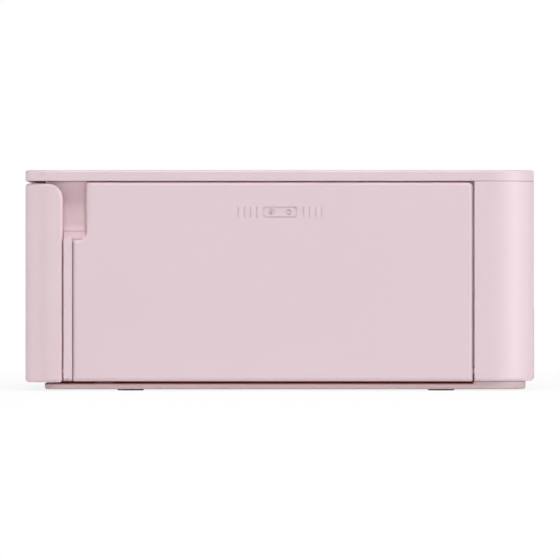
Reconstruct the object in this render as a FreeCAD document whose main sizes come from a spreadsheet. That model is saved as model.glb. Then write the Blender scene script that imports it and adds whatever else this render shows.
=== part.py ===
import FreeCAD, Part
import Sketcher
import math
import operator
import os

# A compact photo printer, in millimetres. X runs across the printer from left to right, Y from the
# front to the rear and Z up from the table. The origin is on the table, under the middle of the case.

doc = FreeCAD.newDocument("photo_printer")
sheet = doc.addObject("Spreadsheet::Sheet", "sizes")

DRIVING_SIZES = (
    # the case as a whole
    ("body_width", 182.2), ("body_depth", 133.0), ("body_height", 57.6),
    ("shell_wall", 2.2), ("panel_gap", 0.34), ("overrun", 1.0), ("slip", 0.06),
    ("front_corner_round", 6.3), ("rear_corner_round", 13.5),
    # the base and its feet
    ("foot_drop", 0.4), ("foot_seat", 0.4), ("foot_radius", 3.5), ("foot_round", 0.2),
    ("front_foot_back", 27.4), ("rear_foot_back", 108.7), ("foot_inset", 13.1),
    ("base_thick", 1.55), ("base_side_inset", 1.2), ("base_front_inset", 5.1), ("base_rear_inset", 2.2),
    ("base_front_round", 3.0), ("base_rear_round", 11.3), ("base_low_round", 0.6), ("base_gap", 0.06),
    ("lip_high", 0.5), ("lip_wide", 2.2), ("shell_low_round", 1.0), ("cover_gap", 0.22),
    ("rim_inset", 3.9), ("rim_wall", 1.4), ("rim_high", 3.6), ("boss_radius", 3.2),
    ("boss_web", 1.4), ("left_boss_in", 9.9), ("front_boss_back", 20.6), ("rear_boss_in", 9.0),
    ("right_boss_in", 7.5), ("rear_right_boss_in", 10.8), ("rear_right_boss_near", 6.3),
    ("screw_radius", 1.1), ("screw_head_radius", 2.1), ("screw_head_deep", 1.0),
    # the top
    ("top_thick", 2.85), ("top_gap", 0.06), ("top_wall", 1.6), ("top_edge_round", 0.7),
    ("top_lip_high", 1.6), ("top_lip_wall", 1.2), ("top_lip_inset", 4.5), ("top_lip_back", 24.6),
    # the front cover
    ("cover_deep", 9.8), ("cover_wall", 2.1), ("cover_low", 2.2), ("cover_top_gap", 0.65),
    ("cover_top_round", 3.9), ("cover_low_round", 0.9), ("cover_inner_round", 2.8), ("cover_hinge_back", 2.7),
    ("cover_hinge_high", 4.6), ("cover_hinge_reach", 70.0), ("hinge_ear_radius", 1.4),
    ("hinge_pin_radius", 0.7), ("hinge_ear_wide", 3.0), ("hinge_lug_wide", 1.6), ("hinge_skin", 1.15),
    # the frame behind the front cover
    ("frame_back", 5.3), ("frame_wall", 2.0), ("frame_side_gap", 0.3), ("frame_low", 2.6),
    ("slot_wide", 112.0), ("slot_low", 7.8), ("slot_high", 22.6), ("tunnel_wall", 1.4),
    ("tunnel_back", 22.5),
    # the finger recess
    ("recess_back", 15.73), ("recess_high", 15.0), ("recess_deep", 4.8), ("recess_round", 2.1),
    ("recess_front", 5.9), ("recess_curve", 4.4), ("recess_wall", 1.2),
    # the door over the ink cassette
    ("door_back", 12.33), ("door_long", 104.57), ("door_wall", 2.0), ("door_top_gap", 0.16),
    ("door_low", 2.45), ("door_hinge_inset", 1.5), ("door_hinge_high", 5.2), ("door_rear_round", 1.5),
    ("door_low_round", 1.2), ("door_pin_reach", 1.1), ("strip_gap", 0.06), ("jamb_wall", 1.7),
    ("jamb_low", 6.4), ("catch_wide", 7.0), ("catch_high", 2.0), ("catch_reach", 2.0),
    ("mark_high", 46.6), ("mark_deep", 0.18), ("mark_long", 9.0), ("mark_tall", 2.9), ("mark_line", 0.36),
    ("mark_ring", 0.8), ("mark_bar_step", 1.6),
    ("pocket_deep", 0.7), ("pocket_rib", 1.6), ("pocket_round", 1.5), ("door_pocket_low", 9.0),
    ("cover_pocket_low", 14.0), ("cover_pocket_high", 46.0), ("cover_catch_reach", 60.0),
    ("cover_catch_high", 49.5), ("label_long", 64.0), ("label_wide", 36.0), ("label_deep", 0.3),
    ("screw_slot_long", 2.4), ("screw_slot_wide", 0.56), ("screw_slot_deep", 0.6),
    # the rear
    ("flap_wide", 108.0), ("flap_high", 19.4), ("flap_low", 2.9), ("flap_wall", 2.1), ("flap_proud", 0.1),
    ("flap_hinge_inset", 1.2), ("flap_hinge_high", 4.9), ("vent_low", 24.6), ("vent_high", 16.8),
    ("vent_wide", 150.0), ("vent_recess", 0.2), ("vent_slot_wide", 1.6), ("vent_slot_high", 11.0),
    ("vent_slot_step", 3.6), ("vent_slot_count", 11), ("rear_slot_low", 15.2), ("rear_slot_high", 6.0),
    ("baffle_wall", 1.2), ("baffle_high", 30.0),
    # the mechanism and its side plates
    ("plate_inset", 8.9), ("plate_thick", 1.2), ("mechanism_wide", 119.0), ("plate_back", 24.5),
    ("plate_long", 97.5), ("plate_high", 42.0), ("plate_round", 3.0), ("bay_margin", 0.8),
    ("tie_wide", 6.0), ("paper_line", 16.9), ("shaft_radius", 2.5), ("shaft_end", 1.4),
    ("bush_wall", 1.4), ("bush_flange", 0.6), ("pinch_shaft_radius", 1.5), ("guide_thick", 1.2),
    ("guide_rib_high", 0.4),
    ("guide_rib_wide", 1.4), ("guide_rib_count", 9), ("paper_gap", 0.3),
    ("platen_radius", 6.0), ("platen_back", 83.0), ("capstan_radius", 3.0), ("capstan_back", 45.5),
    ("pinch_radius", 3.0), ("feed_radius", 7.2), ("feed_back", 33.5), ("feed_tyre_wide", 14.0),
    ("feed_tyre_apart", 30.0), ("roller_margin", 4.0),
    # the gears
    ("tooth_module", 0.6), ("capstan_teeth", 30), ("feed_teeth", 24), ("reduction_teeth", 42),
    ("reduction_small_teeth", 15), ("pinion_teeth", 14), ("take_up_teeth", 21), ("gear_wide", 2.6),
    ("gear_space", 0.7), ("reduction_forward", 12.0), ("pinion_forward", 10.0), ("take_up_forward", 5.0),
    ("gear_hub_radius", 3.4), ("post_radius", 1.6), ("bracket_post_radius", 1.92), ("motor_radius", 9.8),
    ("motor_long", 17.0), ("motor_shaft_radius", 1.0),
    # the ink cassette
    ("spool_apart", 40.0), ("take_up_case_radius", 10.5), ("supply_case_radius", 11.0),
    ("case_wall", 0.9), ("cassette_long", 114.5), ("cassette_clear", 3.3), ("cassette_grip_deep", 5.0),
    ("end_wall", 1.4), ("core_radius", 5.4), ("core_bore", 4.4), ("core_key_high", 1.1),
    ("core_key_wide", 1.2), ("core_flange", 0.8), ("core_flange_radius", 9.0), ("film_roll_radius", 7.8),
    ("film_thick", 0.15), ("film_rise", 1.3), ("spindle_radius", 2.8), ("spindle_fin_high", 1.2),
    ("spindle_fin_wide", 1.2), ("spindle_reach", 6.0),
    # the print head
    ("head_pivot_back", 117.5), ("head_forward", 1.0), ("head_pivot_high", 40.0), ("head_lift", 3.4),
    ("head_board", 2.1),
    ("head_long", 102.0), ("head_wide", 9.0), ("head_arm_thick", 1.4), ("head_fin_count", 16),
    ("head_fin_step", 6.2), ("head_fin_gap", 3.4), ("head_fin_deep", 12.0), ("head_rod_radius", 2.0),
    ("head_arm_rise", 2.6), ("head_eye_radius", 4.0), ("lever_wide", 8.0), ("lever_high", 4.4),
    ("lever_travel", 4.0),
    # the display, the buttons and the boards
    ("window_wide", 88.0), ("window_deep", 58.0), ("window_thick", 1.0), ("window_round", 2.0),
    ("window_centre_left", 36.0), ("window_centre_front", 8.0), ("display_thick", 3.0),
    ("display_margin", 3.0), ("button_gap", 0.15), ("button_travel", 0.5), ("button_flange", 0.8),
    ("button_flange_wide", 0.9), ("board_thick", 1.2), ("key_board_high", 49.0), ("key_dome_radius", 2.6),
    ("low_board_high", 6.0), ("board_gap", 0.3), ("reader_wall", 0.7),
    ("keys_right", 47.0), ("keys_forward", 8.0),
    ("key_step", 23.0), ("key_radius", 3.8), ("pad_radius", 13.0), ("ok_radius", 5.6), ("print_long", 22.0),
    ("print_wide", 9.0), ("key_board_margin", 8.0), ("post_foot_radius", 1.8),
    ("post_foot_inset", 2.5), ("high_key_up", 27.6), ("side_key_up", 17.25), ("ok_flange", 0.28),
    # the fan and the sockets
    ("fan_size", 30.0), ("fan_deep", 7.6), ("fan_wall", 1.2), ("fan_hub_radius", 6.0),
    ("fan_blade_count", 7), ("fan_blade_thick", 0.9), ("fan_inset", 29.1), ("fan_high", 31.0),
    ("card_wide", 25.0), ("card_high", 3.0), ("usb_wide", 9.4), ("usb_high", 3.6), ("usb_long", 7.5),
    ("jack_size", 8.0),
    ("jack_inset", 23.1), ("jack_long", 15.0),
)
for row, (alias, value) in enumerate(DRIVING_SIZES, 1):
    sheet.set("A%d" % row, alias)
    sheet.set("B%d" % row, str(value))
    sheet.setAlias("B%d" % row, alias)
doc.recompute()


class Size:
    """A length with its value and the formula over the sheet that gives it."""

    def __init__(self, value, formula):
        self.value = value
        self.formula = formula

    def __add__(self, other):
        return joined(self, "+", other)

    def __radd__(self, other):
        return joined(other, "+", self)

    def __sub__(self, other):
        return joined(self, "-", other)

    def __rsub__(self, other):
        return joined(other, "-", self)

    def __mul__(self, other):
        return joined(self, "*", other)

    def __rmul__(self, other):
        return joined(other, "*", self)

    def __truediv__(self, other):
        return joined(self, "/", other)

    def __neg__(self):
        return joined(0, "-", self)


STEPS = {"+": operator.add, "-": operator.sub, "*": operator.mul, "/": operator.truediv}


def size(number):
    return number if isinstance(number, Size) else Size(float(number), repr(number))


def joined(first, sign, second):
    first, second = size(first), size(second)
    return Size(STEPS[sign](first.value, second.value), "(%s %s %s)" % (first.formula, sign, second.formula))


def other_leg(long_side, short_side):
    """The second leg of a right triangle, from its long side and the first leg."""
    return Size(math.sqrt(long_side.value ** 2 - short_side.value ** 2),
                "sqrt((%s) ^ 2 - (%s) ^ 2)" % (long_side.formula, short_side.formula))


class Sheet:
    def __getattr__(self, alias):
        return Size(float(sheet.get(alias)), "sizes.%s" % alias)


s = Sheet()

# the places that several pieces share
right = s.body_width / 2
rear = s.body_depth / 2
front = -rear
top = s.body_height
top_under = top - s.top_thick
base_low = s.foot_drop
base_top = base_low + s.base_thick
shell_low = base_top + s.lip_high + s.base_gap
shell_top = top_under - s.top_gap
shell_front = front + s.cover_deep + s.cover_gap
inner_side = right - s.shell_wall
inner_rear = rear - s.shell_wall
door_front = front + s.door_back
door_rear = door_front + s.door_long
door_top = top_under - s.door_top_gap
door_inner = right - s.door_wall
jamb_outer = inner_side
jamb_inner = jamb_outer - s.jamb_wall
recess_low = top_under - s.recess_high
recess_rear = front + s.recess_back
plate_right = right - s.plate_inset
plate_left = plate_right - s.mechanism_wide
plate_left_outer = plate_left - s.plate_thick
plate_right_outer = plate_right + s.plate_thick
plate_front = front + s.plate_back
plate_rear = plate_front + s.plate_long
plate_top = base_top + s.plate_high
middle_x = (plate_left + plate_right) / 2
jack_x = s.jack_inset - right
slot_left = middle_x - s.slot_wide / 2
slot_right = middle_x + s.slot_wide / 2
frame_front = front + s.frame_back
frame_rear = frame_front + s.frame_wall

# the axes of the rollers, gears and spools, which mesh from the capstan outwards
platen_y = front + s.platen_back
platen_z = s.paper_line - s.platen_radius
capstan_y = front + s.capstan_back
capstan_z = s.paper_line - s.capstan_radius
pinch_z = s.paper_line + s.paper_gap + s.pinch_radius
feed_y = front + s.feed_back
feed_apart = (s.capstan_teeth + s.feed_teeth) * s.tooth_module / 2
feed_z = capstan_z + other_leg(feed_apart, capstan_y - feed_y)
reduction_y = capstan_y + s.reduction_forward
reduction_apart = (s.capstan_teeth + s.reduction_small_teeth) * s.tooth_module / 2
reduction_z = capstan_z + other_leg(reduction_apart, s.reduction_forward)
take_up_y = reduction_y + s.take_up_forward
take_up_apart = (s.take_up_teeth + s.reduction_small_teeth) * s.tooth_module / 2
take_up_z = reduction_z + other_leg(take_up_apart, s.take_up_forward)
pinion_y = reduction_y + s.pinion_forward
pinion_apart = (s.pinion_teeth + s.reduction_teeth) * s.tooth_module / 2
pinion_z = reduction_z + other_leg(pinion_apart, s.pinion_forward)
supply_y = take_up_y + s.spool_apart
gear_right = plate_left_outer - s.gear_space
gear_left = gear_right - s.gear_wide
outer_gear_right = gear_left - s.gear_space
outer_gear_left = outer_gear_right - s.gear_wide
bracket_right = outer_gear_left - s.gear_space
bracket_left = bracket_right - s.plate_thick

keys_x = s.keys_right
keys_y = -s.keys_forward
board_level = plate_top

PLANES = {"top": "XY_Plane", "front": "XZ_Plane", "side": "YZ_Plane"}


def new_body(name):
    body = doc.addObject("PartDesign::Body", name)
    body.Label = name
    body.AllowCompound = True
    return body


def bind(target, path, length):
    length = size(length)
    target.setExpression(path, length.formula)


def new_sketch(body, view, level, across=0, up=0, turn=0.0):
    """A sketch on the body's own plane, moved out to a level and with its origin moved."""
    role = PLANES[view]
    support = [item for item in body.Origin.OriginFeatures if item.Role == role][0]
    sketch = body.newObject("Sketcher::SketchObject", "%s_sketch" % body.Name)
    sketch.AttachmentSupport = [(support, "")]
    sketch.MapMode = "FlatFace"
    out = -size(level) if view == "front" else size(level)
    sketch.AttachmentOffset = FreeCAD.Placement(
        FreeCAD.Vector(size(across).value, size(up).value, out.value),
        FreeCAD.Rotation(FreeCAD.Vector(0, 0, 1), turn))
    bind(sketch, "AttachmentOffset.Base.x", across)
    bind(sketch, "AttachmentOffset.Base.y", up)
    bind(sketch, "AttachmentOffset.Base.z", out)
    return sketch


def fix_point(sketch, index, end, across, up):
    for kind, length in (("DistanceX", size(across)), ("DistanceY", size(up))):
        number = sketch.addConstraint(Sketcher.Constraint(kind, index, end, length.value))
        bind(sketch, "Constraints[%d]" % number, length)


def draw_ring(sketch, across, up, radius):
    across, up, radius = size(across), size(up), size(radius)
    centre = FreeCAD.Vector(across.value, up.value, 0)
    index = sketch.addGeometry(Part.Circle(centre, FreeCAD.Vector(0, 0, 1), radius.value), False)
    fix_point(sketch, index, 3, across, up)
    number = sketch.addConstraint(Sketcher.Constraint("Radius", index, radius.value))
    bind(sketch, "Constraints[%d]" % number, radius)


def sign_of(number):
    return (number > 1e-9) - (number < -1e-9)


def draw_outline(sketch, corners):
    """A closed outline through corners (across, up, round); a rounded corner has square sides."""
    corners = [(size(c[0]), size(c[1]), size(c[2]) if len(c) > 2 else size(0)) for c in corners]
    points, rounds = [], []
    for place, (across, up, bend) in enumerate(corners):
        if bend.value == 0:
            points.append((across, up))
            rounds.append(None)
            continue
        before, after = corners[place - 1], corners[(place + 1) % len(corners)]
        in_x, in_y = sign_of(across.value - before[0].value), sign_of(up.value - before[1].value)
        out_x, out_y = sign_of(after[0].value - across.value), sign_of(after[1].value - up.value)
        points.append((across - bend * in_x, up - bend * in_y))
        rounds.append((bend, in_x * out_y - in_y * out_x, bend * out_x, bend * out_y))
        points.append((across + bend * out_x, up + bend * out_y))
        rounds.append(None)
    ends = []
    for place, (across, up) in enumerate(points):
        next_across, next_up = points[(place + 1) % len(points)]
        begin = FreeCAD.Vector(across.value, up.value, 0)
        finish = FreeCAD.Vector(next_across.value, next_up.value, 0)
        if (finish - begin).Length < 1e-7:
            continue
        bend = rounds[place]
        if bend is None:
            index = sketch.addGeometry(Part.LineSegment(begin, finish), False)
            ends.append((index, 1, 2, across, up))
            continue
        radius, hand, shift_x, shift_y = bend
        centre = FreeCAD.Vector(across.value + shift_x.value, up.value + shift_y.value, 0)
        first, last = (begin, finish) if hand > 0 else (finish, begin)
        circle = Part.Circle(centre, FreeCAD.Vector(0, 0, 1), radius.value)
        start_angle = math.atan2(first.y - centre.y, first.x - centre.x)
        end_angle = math.atan2(last.y - centre.y, last.x - centre.x)
        if end_angle <= start_angle:
            end_angle += 2 * math.pi
        index = sketch.addGeometry(Part.ArcOfCircle(circle, start_angle, end_angle), False)
        number = sketch.addConstraint(Sketcher.Constraint("Radius", index, radius.value))
        bind(sketch, "Constraints[%d]" % number, radius)
        ends.append((index, 1, 2, across, up) if hand > 0 else (index, 2, 1, across, up))
    for place, (index, begin_end, _, across, up) in enumerate(ends):
        last_index, last_finish = ends[place - 1][0], ends[place - 1][2]
        sketch.addConstraint(Sketcher.Constraint("Coincident", last_index, last_finish, index, begin_end))
        fix_point(sketch, index, begin_end, across, up)


def box(left, low, right_side, high, bend=0):
    return [(left, low, bend), (right_side, low, bend), (right_side, high, bend), (left, high, bend)]


def draw(sketch, loops):
    for loop in loops:
        if isinstance(loop, tuple):
            draw_ring(sketch, *loop)
        else:
            draw_outline(sketch, loop)


def prism(body, view, loops, low, high, cut=False, **placing):
    """Adds or cuts a straight block, drawn in a view and reaching from low to high along it."""
    level = high if view == "front" else low
    sketch = new_sketch(body, view, level, **placing)
    draw(sketch, loops)
    kind = "PartDesign::Pocket" if cut else "PartDesign::Pad"
    feature = body.newObject(kind, "%s_%s" % (body.Name, "cut" if cut else "block"))
    feature.Profile = sketch
    feature.Reversed = cut
    bind(feature, "Length", size(high) - size(low))
    return feature


def turned(body, view, loops, level, across=0, up=0, axis="H_Axis", cut=False):
    """Adds or cuts a form of revolution about the sketch's own axis."""
    sketch = new_sketch(body, view, level, across, up)
    draw(sketch, loops)
    kind = "PartDesign::Groove" if cut else "PartDesign::Revolution"
    feature = body.newObject(kind, "%s_turned" % body.Name)
    feature.Profile = sketch
    feature.ReferenceAxis = (sketch, [axis])
    feature.Angle = 360
    return feature


def repeat_round(body, feature, count, turn_sketch=None):
    pattern = body.newObject("PartDesign::PolarPattern", "%s_round" % body.Name)
    pattern.Originals = [feature]
    pattern.Axis = (turn_sketch or feature.Profile[0], ["N_Axis"])
    pattern.Angle = 360
    bind(pattern, "Occurrences", count)
    body.Tip = pattern
    return pattern


def repeat_along(body, feature, axis, length, count):
    pattern = body.newObject("PartDesign::LinearPattern", "%s_row" % body.Name)
    pattern.Originals = [feature]
    pattern.Direction = (feature.Profile[0], [axis])
    bind(pattern, "Length", length)
    bind(pattern, "Occurrences", count)
    body.Tip = pattern
    return pattern


def round_edges(body, radius, chosen, kind="Fillet"):
    """Rounds the edges of the body's last feature that the test picks."""
    doc.recompute()
    last = body.Tip
    names = ["Edge%d" % number for number, edge in enumerate(last.Shape.Edges, 1) if chosen(edge)]
    feature = body.newObject("PartDesign::%s" % kind, "%s_%s" % (body.Name, kind.lower()))
    feature.Base = (last, names)
    bind(feature, "Radius" if kind == "Fillet" else "Size", radius)
    return feature


def lies_at(edge, axis, place):
    """Whether the whole edge lies at one place along an axis."""
    near = 1e-4
    bounds = edge.BoundBox
    low, high = getattr(bounds, axis + "Min"), getattr(bounds, axis + "Max")
    return abs(low - size(place).value) < near and abs(high - size(place).value) < near


def teeth(body, count, left, gear_y, gear_z, turn):
    """A spur gear's toothed disc on a side view, with straight flanks and a little play."""
    pitch_radius = count * s.tooth_module / 2
    tip_radius = pitch_radius + s.tooth_module * TIP_SHARE
    root_radius = pitch_radius - s.tooth_module * ROOT_SHARE
    prism(body, "side", [(gear_y, gear_z, tip_radius)], left, left + s.gear_wide)
    half_gap = s.tooth_module * math.pi / 4 * GAP_SHARE
    tip_half = half_gap + s.tooth_module * TIP_SHARE * FLANK_SHARE
    root_half = half_gap - s.tooth_module * ROOT_SHARE * FLANK_SHARE
    past_tip = tip_radius + s.tooth_module * TIP_SHARE / 2
    past_half = tip_half + s.tooth_module * TIP_SHARE / 2 * FLANK_SHARE
    gap = prism(body, "side", [[(root_radius, -root_half), (past_tip, -past_half),
                                (past_tip, past_half), (root_radius, root_half)]],
                left, left + s.gear_wide, cut=True, across=gear_y, up=gear_z, turn=turn)
    return repeat_round(body, gap, count)


TIP_SHARE = 0.9
ROOT_SHARE = 1.25
GAP_SHARE = 1.2
FLANK_SHARE = 0.36


def mesh_turn(first_teeth, first_turn, second_teeth, direction):
    """The turn in degrees that sets a second gear's tooth into a gap of the first."""
    first_step, second_step = 360.0 / first_teeth, 360.0 / second_teeth
    lead = (direction - first_turn) / first_step
    share = lead - math.floor(lead)
    facing = direction + 180.0
    return facing + (share + 0.5) * second_step


def direction_of(first, second):
    (first_y, first_z), (second_y, second_z) = first, second
    return math.degrees(math.atan2(second_z.value - first_z.value, second_y.value - first_y.value))


# Each gear's turn puts the middle of one of its gaps; a gap of one faces a tooth of the next.
capstan_turn = 0.0
feed_turn = mesh_turn(s.capstan_teeth.value, capstan_turn, s.feed_teeth.value,
                      direction_of((capstan_y, capstan_z), (feed_y, feed_z)))
small_turn = mesh_turn(s.capstan_teeth.value, capstan_turn, s.reduction_small_teeth.value,
                       direction_of((capstan_y, capstan_z), (reduction_y, reduction_z)))
take_up_turn = mesh_turn(s.reduction_small_teeth.value, small_turn, s.take_up_teeth.value,
                         direction_of((reduction_y, reduction_z), (take_up_y, take_up_z)))
pinion_turn = mesh_turn(s.reduction_teeth.value, small_turn, s.pinion_teeth.value,
                        direction_of((reduction_y, reduction_z), (pinion_y, pinion_z)))


def make_bottom_cover():
    body = new_body("bottom_cover")
    left, far = -right + s.base_side_inset, right - s.base_side_inset
    near, back = front + s.base_front_inset, rear - s.base_rear_inset
    prism(body, "top", [[(left, near, s.base_front_round), (far, near, s.base_front_round),
                         (far, back, s.base_rear_round), (left, back, s.base_rear_round)]],
          base_low, base_top)
    round_edges(body, s.base_low_round, lambda edge: lies_at(edge, "Z", base_low))
    lip, stop = s.lip_wide, front + s.cover_deep + s.cover_gap
    lip_bend = s.base_rear_round - lip
    prism(body, "top", [[(left, stop), (left + lip, stop), (left + lip, back - lip, lip_bend),
                         (far - lip, back - lip, lip_bend), (far - lip, door_rear), (far, door_rear),
                         (far, back, s.base_rear_round), (left, back, s.base_rear_round)]],
          base_top, base_top + s.lip_high)
    rim_left, rim_far = left + s.rim_inset, far - s.rim_inset
    rim_near, rim_back = near + s.rim_inset, back - s.rim_inset
    rim_bend = s.base_rear_round - s.rim_inset
    outer = [(rim_left, rim_near), (rim_far, rim_near), (rim_far, rim_back, rim_bend),
             (rim_left, rim_back, rim_bend)]
    wall = s.rim_wall
    inner = [(rim_left + wall, rim_near + wall), (rim_far - wall, rim_near + wall),
             (rim_far - wall, rim_back - wall, rim_bend - wall),
             (rim_left + wall, rim_back - wall, rim_bend - wall)]
    prism(body, "top", [outer, inner], base_top, base_top + s.rim_high)
    for x, y in SCREW_PLACES:
        prism(body, "top", [(x, y, s.boss_radius + s.panel_gap)], base_top, base_top + s.rim_high + s.overrun,
              cut=True)
        prism(body, "top", [(x, y, s.screw_radius + s.slip)], base_low - s.overrun,
              base_top + s.overrun, cut=True)
        prism(body, "top", [(x, y, s.screw_head_radius + s.slip)], base_low - s.overrun,
              base_low + s.screw_head_deep, cut=True)
    for x, y in FOOT_PLACES:
        prism(body, "top", [(x, y, s.foot_radius + s.slip)], base_low - s.overrun,
              base_low + s.foot_seat, cut=True)
    prism(body, "top", [(x, y, s.post_foot_radius) for x, y in board_feet()], base_top, s.low_board_high)
    half_long, half_wide = s.label_long / 2, s.label_wide / 2
    prism(body, "top", [box(-half_long, -half_wide, half_long, half_wide, s.pocket_round)],
          base_low - s.overrun, base_low + s.label_deep, cut=True)


FOOT_PLACES = [(side * (right - s.foot_inset), front + back)
               for side in (-1, 1) for back in (s.front_foot_back, s.rear_foot_back)]
SCREW_PLACES = [(-right + s.left_boss_in, front + s.front_boss_back),
                (-right + s.left_boss_in, rear - s.rear_boss_in),
                (right - s.right_boss_in, front + s.front_boss_back),
                (right - s.rear_right_boss_in, rear - s.rear_right_boss_near)]


def make_rubber_feet():
    body = new_body("rubber_feet")
    prism(body, "top", [(x, y, s.foot_radius) for x, y in FOOT_PLACES], 0, base_low + s.foot_seat)
    round_edges(body, s.foot_round, lambda edge: lies_at(edge, "Z", 0), "Chamfer")


# Where the door's catch and its window lie, as shares of the catch's height below the door's top.
CATCH_WINDOW_SHARES = (2.4, 0.2)
CATCH_SHARE = 1.8
# The power jack's mouth, bore and pin as shares of its half width, then of its length.
JACK_MOUTH_SHARE = 0.8
JACK_BORE_SHARE = 0.7
JACK_PIN_SHARE = 0.25
JACK_PIN_DEEP_SHARE = 0.75


def make_main_housing():
    body = new_body("main_housing")
    inner_bend = s.rear_corner_round - s.shell_wall
    prism(body, "top", [[(-right, shell_front), (-inner_side, shell_front),
                         (-inner_side, inner_rear, inner_bend), (inner_side, inner_rear, inner_bend),
                         (inner_side, shell_front), (right, shell_front),
                         (right, rear, s.rear_corner_round), (-right, rear, s.rear_corner_round)]],
          shell_low, shell_top)
    round_edges(body, s.shell_low_round, lambda edge: lies_at(edge, "Z", shell_low) and outer_wall_edge(edge))
    prism(body, "side", [box(door_front - s.strip_gap, shell_low - s.overrun,
                             door_rear + s.panel_gap, shell_top + s.overrun)],
          inner_side, right + s.overrun, cut=True)
    jamb_rear = door_rear + s.jamb_wall
    prism(body, "side", [box(shell_front, s.jamb_low, jamb_rear, shell_top)], jamb_inner, jamb_outer)
    recess_near, recess_top = shell_front - s.overrun, shell_top + s.overrun
    prism(body, "side", [[(recess_near, recess_low), (recess_rear, recess_low, s.recess_round),
                          (recess_rear, recess_top), (recess_near, recess_top)]],
          jamb_inner - s.overrun, right + s.overrun, cut=True)
    curve_low, curve_top = recess_low - s.recess_wall, recess_low + s.recess_curve
    prism(body, "side", [box(shell_front, curve_low, recess_rear, curve_top)], jamb_inner, jamb_outer)
    prism(body, "front", [recess_hollow()], shell_front - s.overrun, recess_rear, cut=True)
    prism(body, "side", [bay_outline(s.bay_margin)], jamb_inner - s.overrun, jamb_outer + s.overrun, cut=True)
    catch_middle = (door_front + door_rear) / 2
    window_low, window_high = [door_top - s.catch_high * share for share in CATCH_WINDOW_SHARES]
    prism(body, "side", [box(catch_middle - s.catch_wide / 2 - s.overrun, window_low,
                             catch_middle + s.catch_wide / 2 + s.overrun, window_high)],
          jamb_inner - s.overrun, jamb_outer + s.overrun, cut=True)
    prism(body, "side", [lever_window()], jamb_inner - s.overrun, jamb_outer + s.overrun, cut=True)
    hinge_x = right - s.door_hinge_inset
    prism(body, "front", [(hinge_x, s.door_hinge_high, s.hinge_pin_radius + s.slip)],
          door_front - s.strip_gap - s.door_pin_reach - s.slip, door_front, cut=True)
    prism(body, "front", [(hinge_x, s.door_hinge_high, s.hinge_pin_radius + s.slip)],
          door_rear, door_rear + s.panel_gap + s.door_pin_reach + s.slip, cut=True)
    flap_left, flap_far = flap_sides()
    prism(body, "front", [box(flap_left - s.panel_gap, shell_low - s.overrun, flap_far + s.panel_gap,
                              s.flap_low + s.flap_high + s.panel_gap)],
          inner_rear - s.overrun, rear + s.overrun, cut=True)
    prism(body, "front", [box(-s.vent_wide / 2, s.vent_low + s.panel_gap, s.vent_wide / 2,
                              s.vent_low + s.vent_high)],
          inner_rear - s.overrun, rear + s.overrun, cut=True)
    flap_pin_y = rear - s.flap_hinge_inset
    prism(body, "side", [(flap_pin_y, s.flap_hinge_high, s.hinge_pin_radius + s.slip)],
          flap_left - s.panel_gap - s.door_pin_reach - s.slip,
          flap_far + s.panel_gap + s.door_pin_reach + s.slip, cut=True)
    half = s.jack_size / 2
    prism(body, "front", [(jack_x, card_low() + half, half * JACK_MOUTH_SHARE)], inner_rear - s.overrun,
          rear + s.overrun, cut=True)
    prism(body, "side", [box(card_front(), card_low(), card_front() + s.card_wide, card_low() + s.card_high)],
          -right - s.overrun, -inner_side + s.overrun, cut=True)
    prism(body, "side", [box(usb_front(), card_low(), usb_front() + s.usb_wide, card_low() + s.usb_high,
                             s.usb_high / 3)],
          -right - s.overrun, -inner_side + s.overrun, cut=True)
    prism(body, "front", [box(-inner_side - s.overrun / 2, board_level - s.boss_web,
                              -inner_side + s.roller_margin, board_level)],
          plate_front + s.roller_margin * 2, plate_rear - s.roller_margin * 2)
    web_low, half_web = base_top + s.rim_high + s.panel_gap, s.boss_web / 2
    for (x, y), (wall_x, wall_y) in zip(SCREW_PLACES, BOSS_WEBS):
        prism(body, "top", [box(min_size(x, wall_x), y - half_web, max_size(x, wall_x), y + half_web)
                            if wall_y is None else box(x - half_web, y, x + half_web, wall_y)],
              web_low, top_under - s.top_lip_high - s.panel_gap)
        prism(body, "top", [(x, y, s.boss_radius)], base_top, shell_top)
        prism(body, "top", [(x, y, s.screw_radius)], base_top - s.overrun, base_top + s.boss_radius * 3,
              cut=True)


BOSS_WEBS = [(-inner_side - s.overrun / 2, None), (-inner_side - s.overrun / 2, None),
             (jamb_inner + s.overrun / 2, None), (None, inner_rear + s.overrun / 3)]


def min_size(first, second):
    return first if first.value < second.value else second


def max_size(first, second):
    return second if first.value < second.value else first


def recess_hollow():
    """Cross-section of the finger recess: its back, its curved floor and its open side."""
    back, far, above = right - s.recess_deep, right + s.overrun, shell_top + s.overrun
    return [(back, recess_low, s.recess_curve), (far, recess_low), (far, above), (back, above)]


def outer_wall_edge(edge):
    """Whether an edge of the housing's foot runs along its outer face."""
    around, reach = edge.BoundBox, s.shell_wall.value / 2
    along = around.YLength > reach * 3 and max(around.XMax, -around.XMin) > right.value - reach
    return along or (around.XLength > reach * 3 and around.YMax > rear.value - reach)


def bay_outline(margin):
    """The outline of the ink cassette's end, grown by a margin."""
    low = take_up_z - s.supply_case_radius - margin
    high = take_up_z + s.supply_case_radius + margin
    near = take_up_y - s.take_up_case_radius - margin
    back = supply_y + s.supply_case_radius + margin
    return box(near, low, back, high, s.take_up_case_radius / 2 + margin)


def lever_place():
    near = take_up_y + s.spool_apart / 2
    low = take_up_z + s.supply_case_radius + s.bay_margin * 3
    return near, low


def lever_window():
    near, low = lever_place()
    return box(near, low, near + s.lever_wide + s.lever_travel + s.panel_gap * 2, low + s.lever_high)


def flap_sides():
    return middle_x - s.flap_wide / 2, middle_x + s.flap_wide / 2


def card_front():
    return front + s.plate_back + s.rim_inset


def usb_front():
    return card_front() + s.card_wide + s.usb_wide


def card_low():
    return s.low_board_high + s.board_thick


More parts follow.
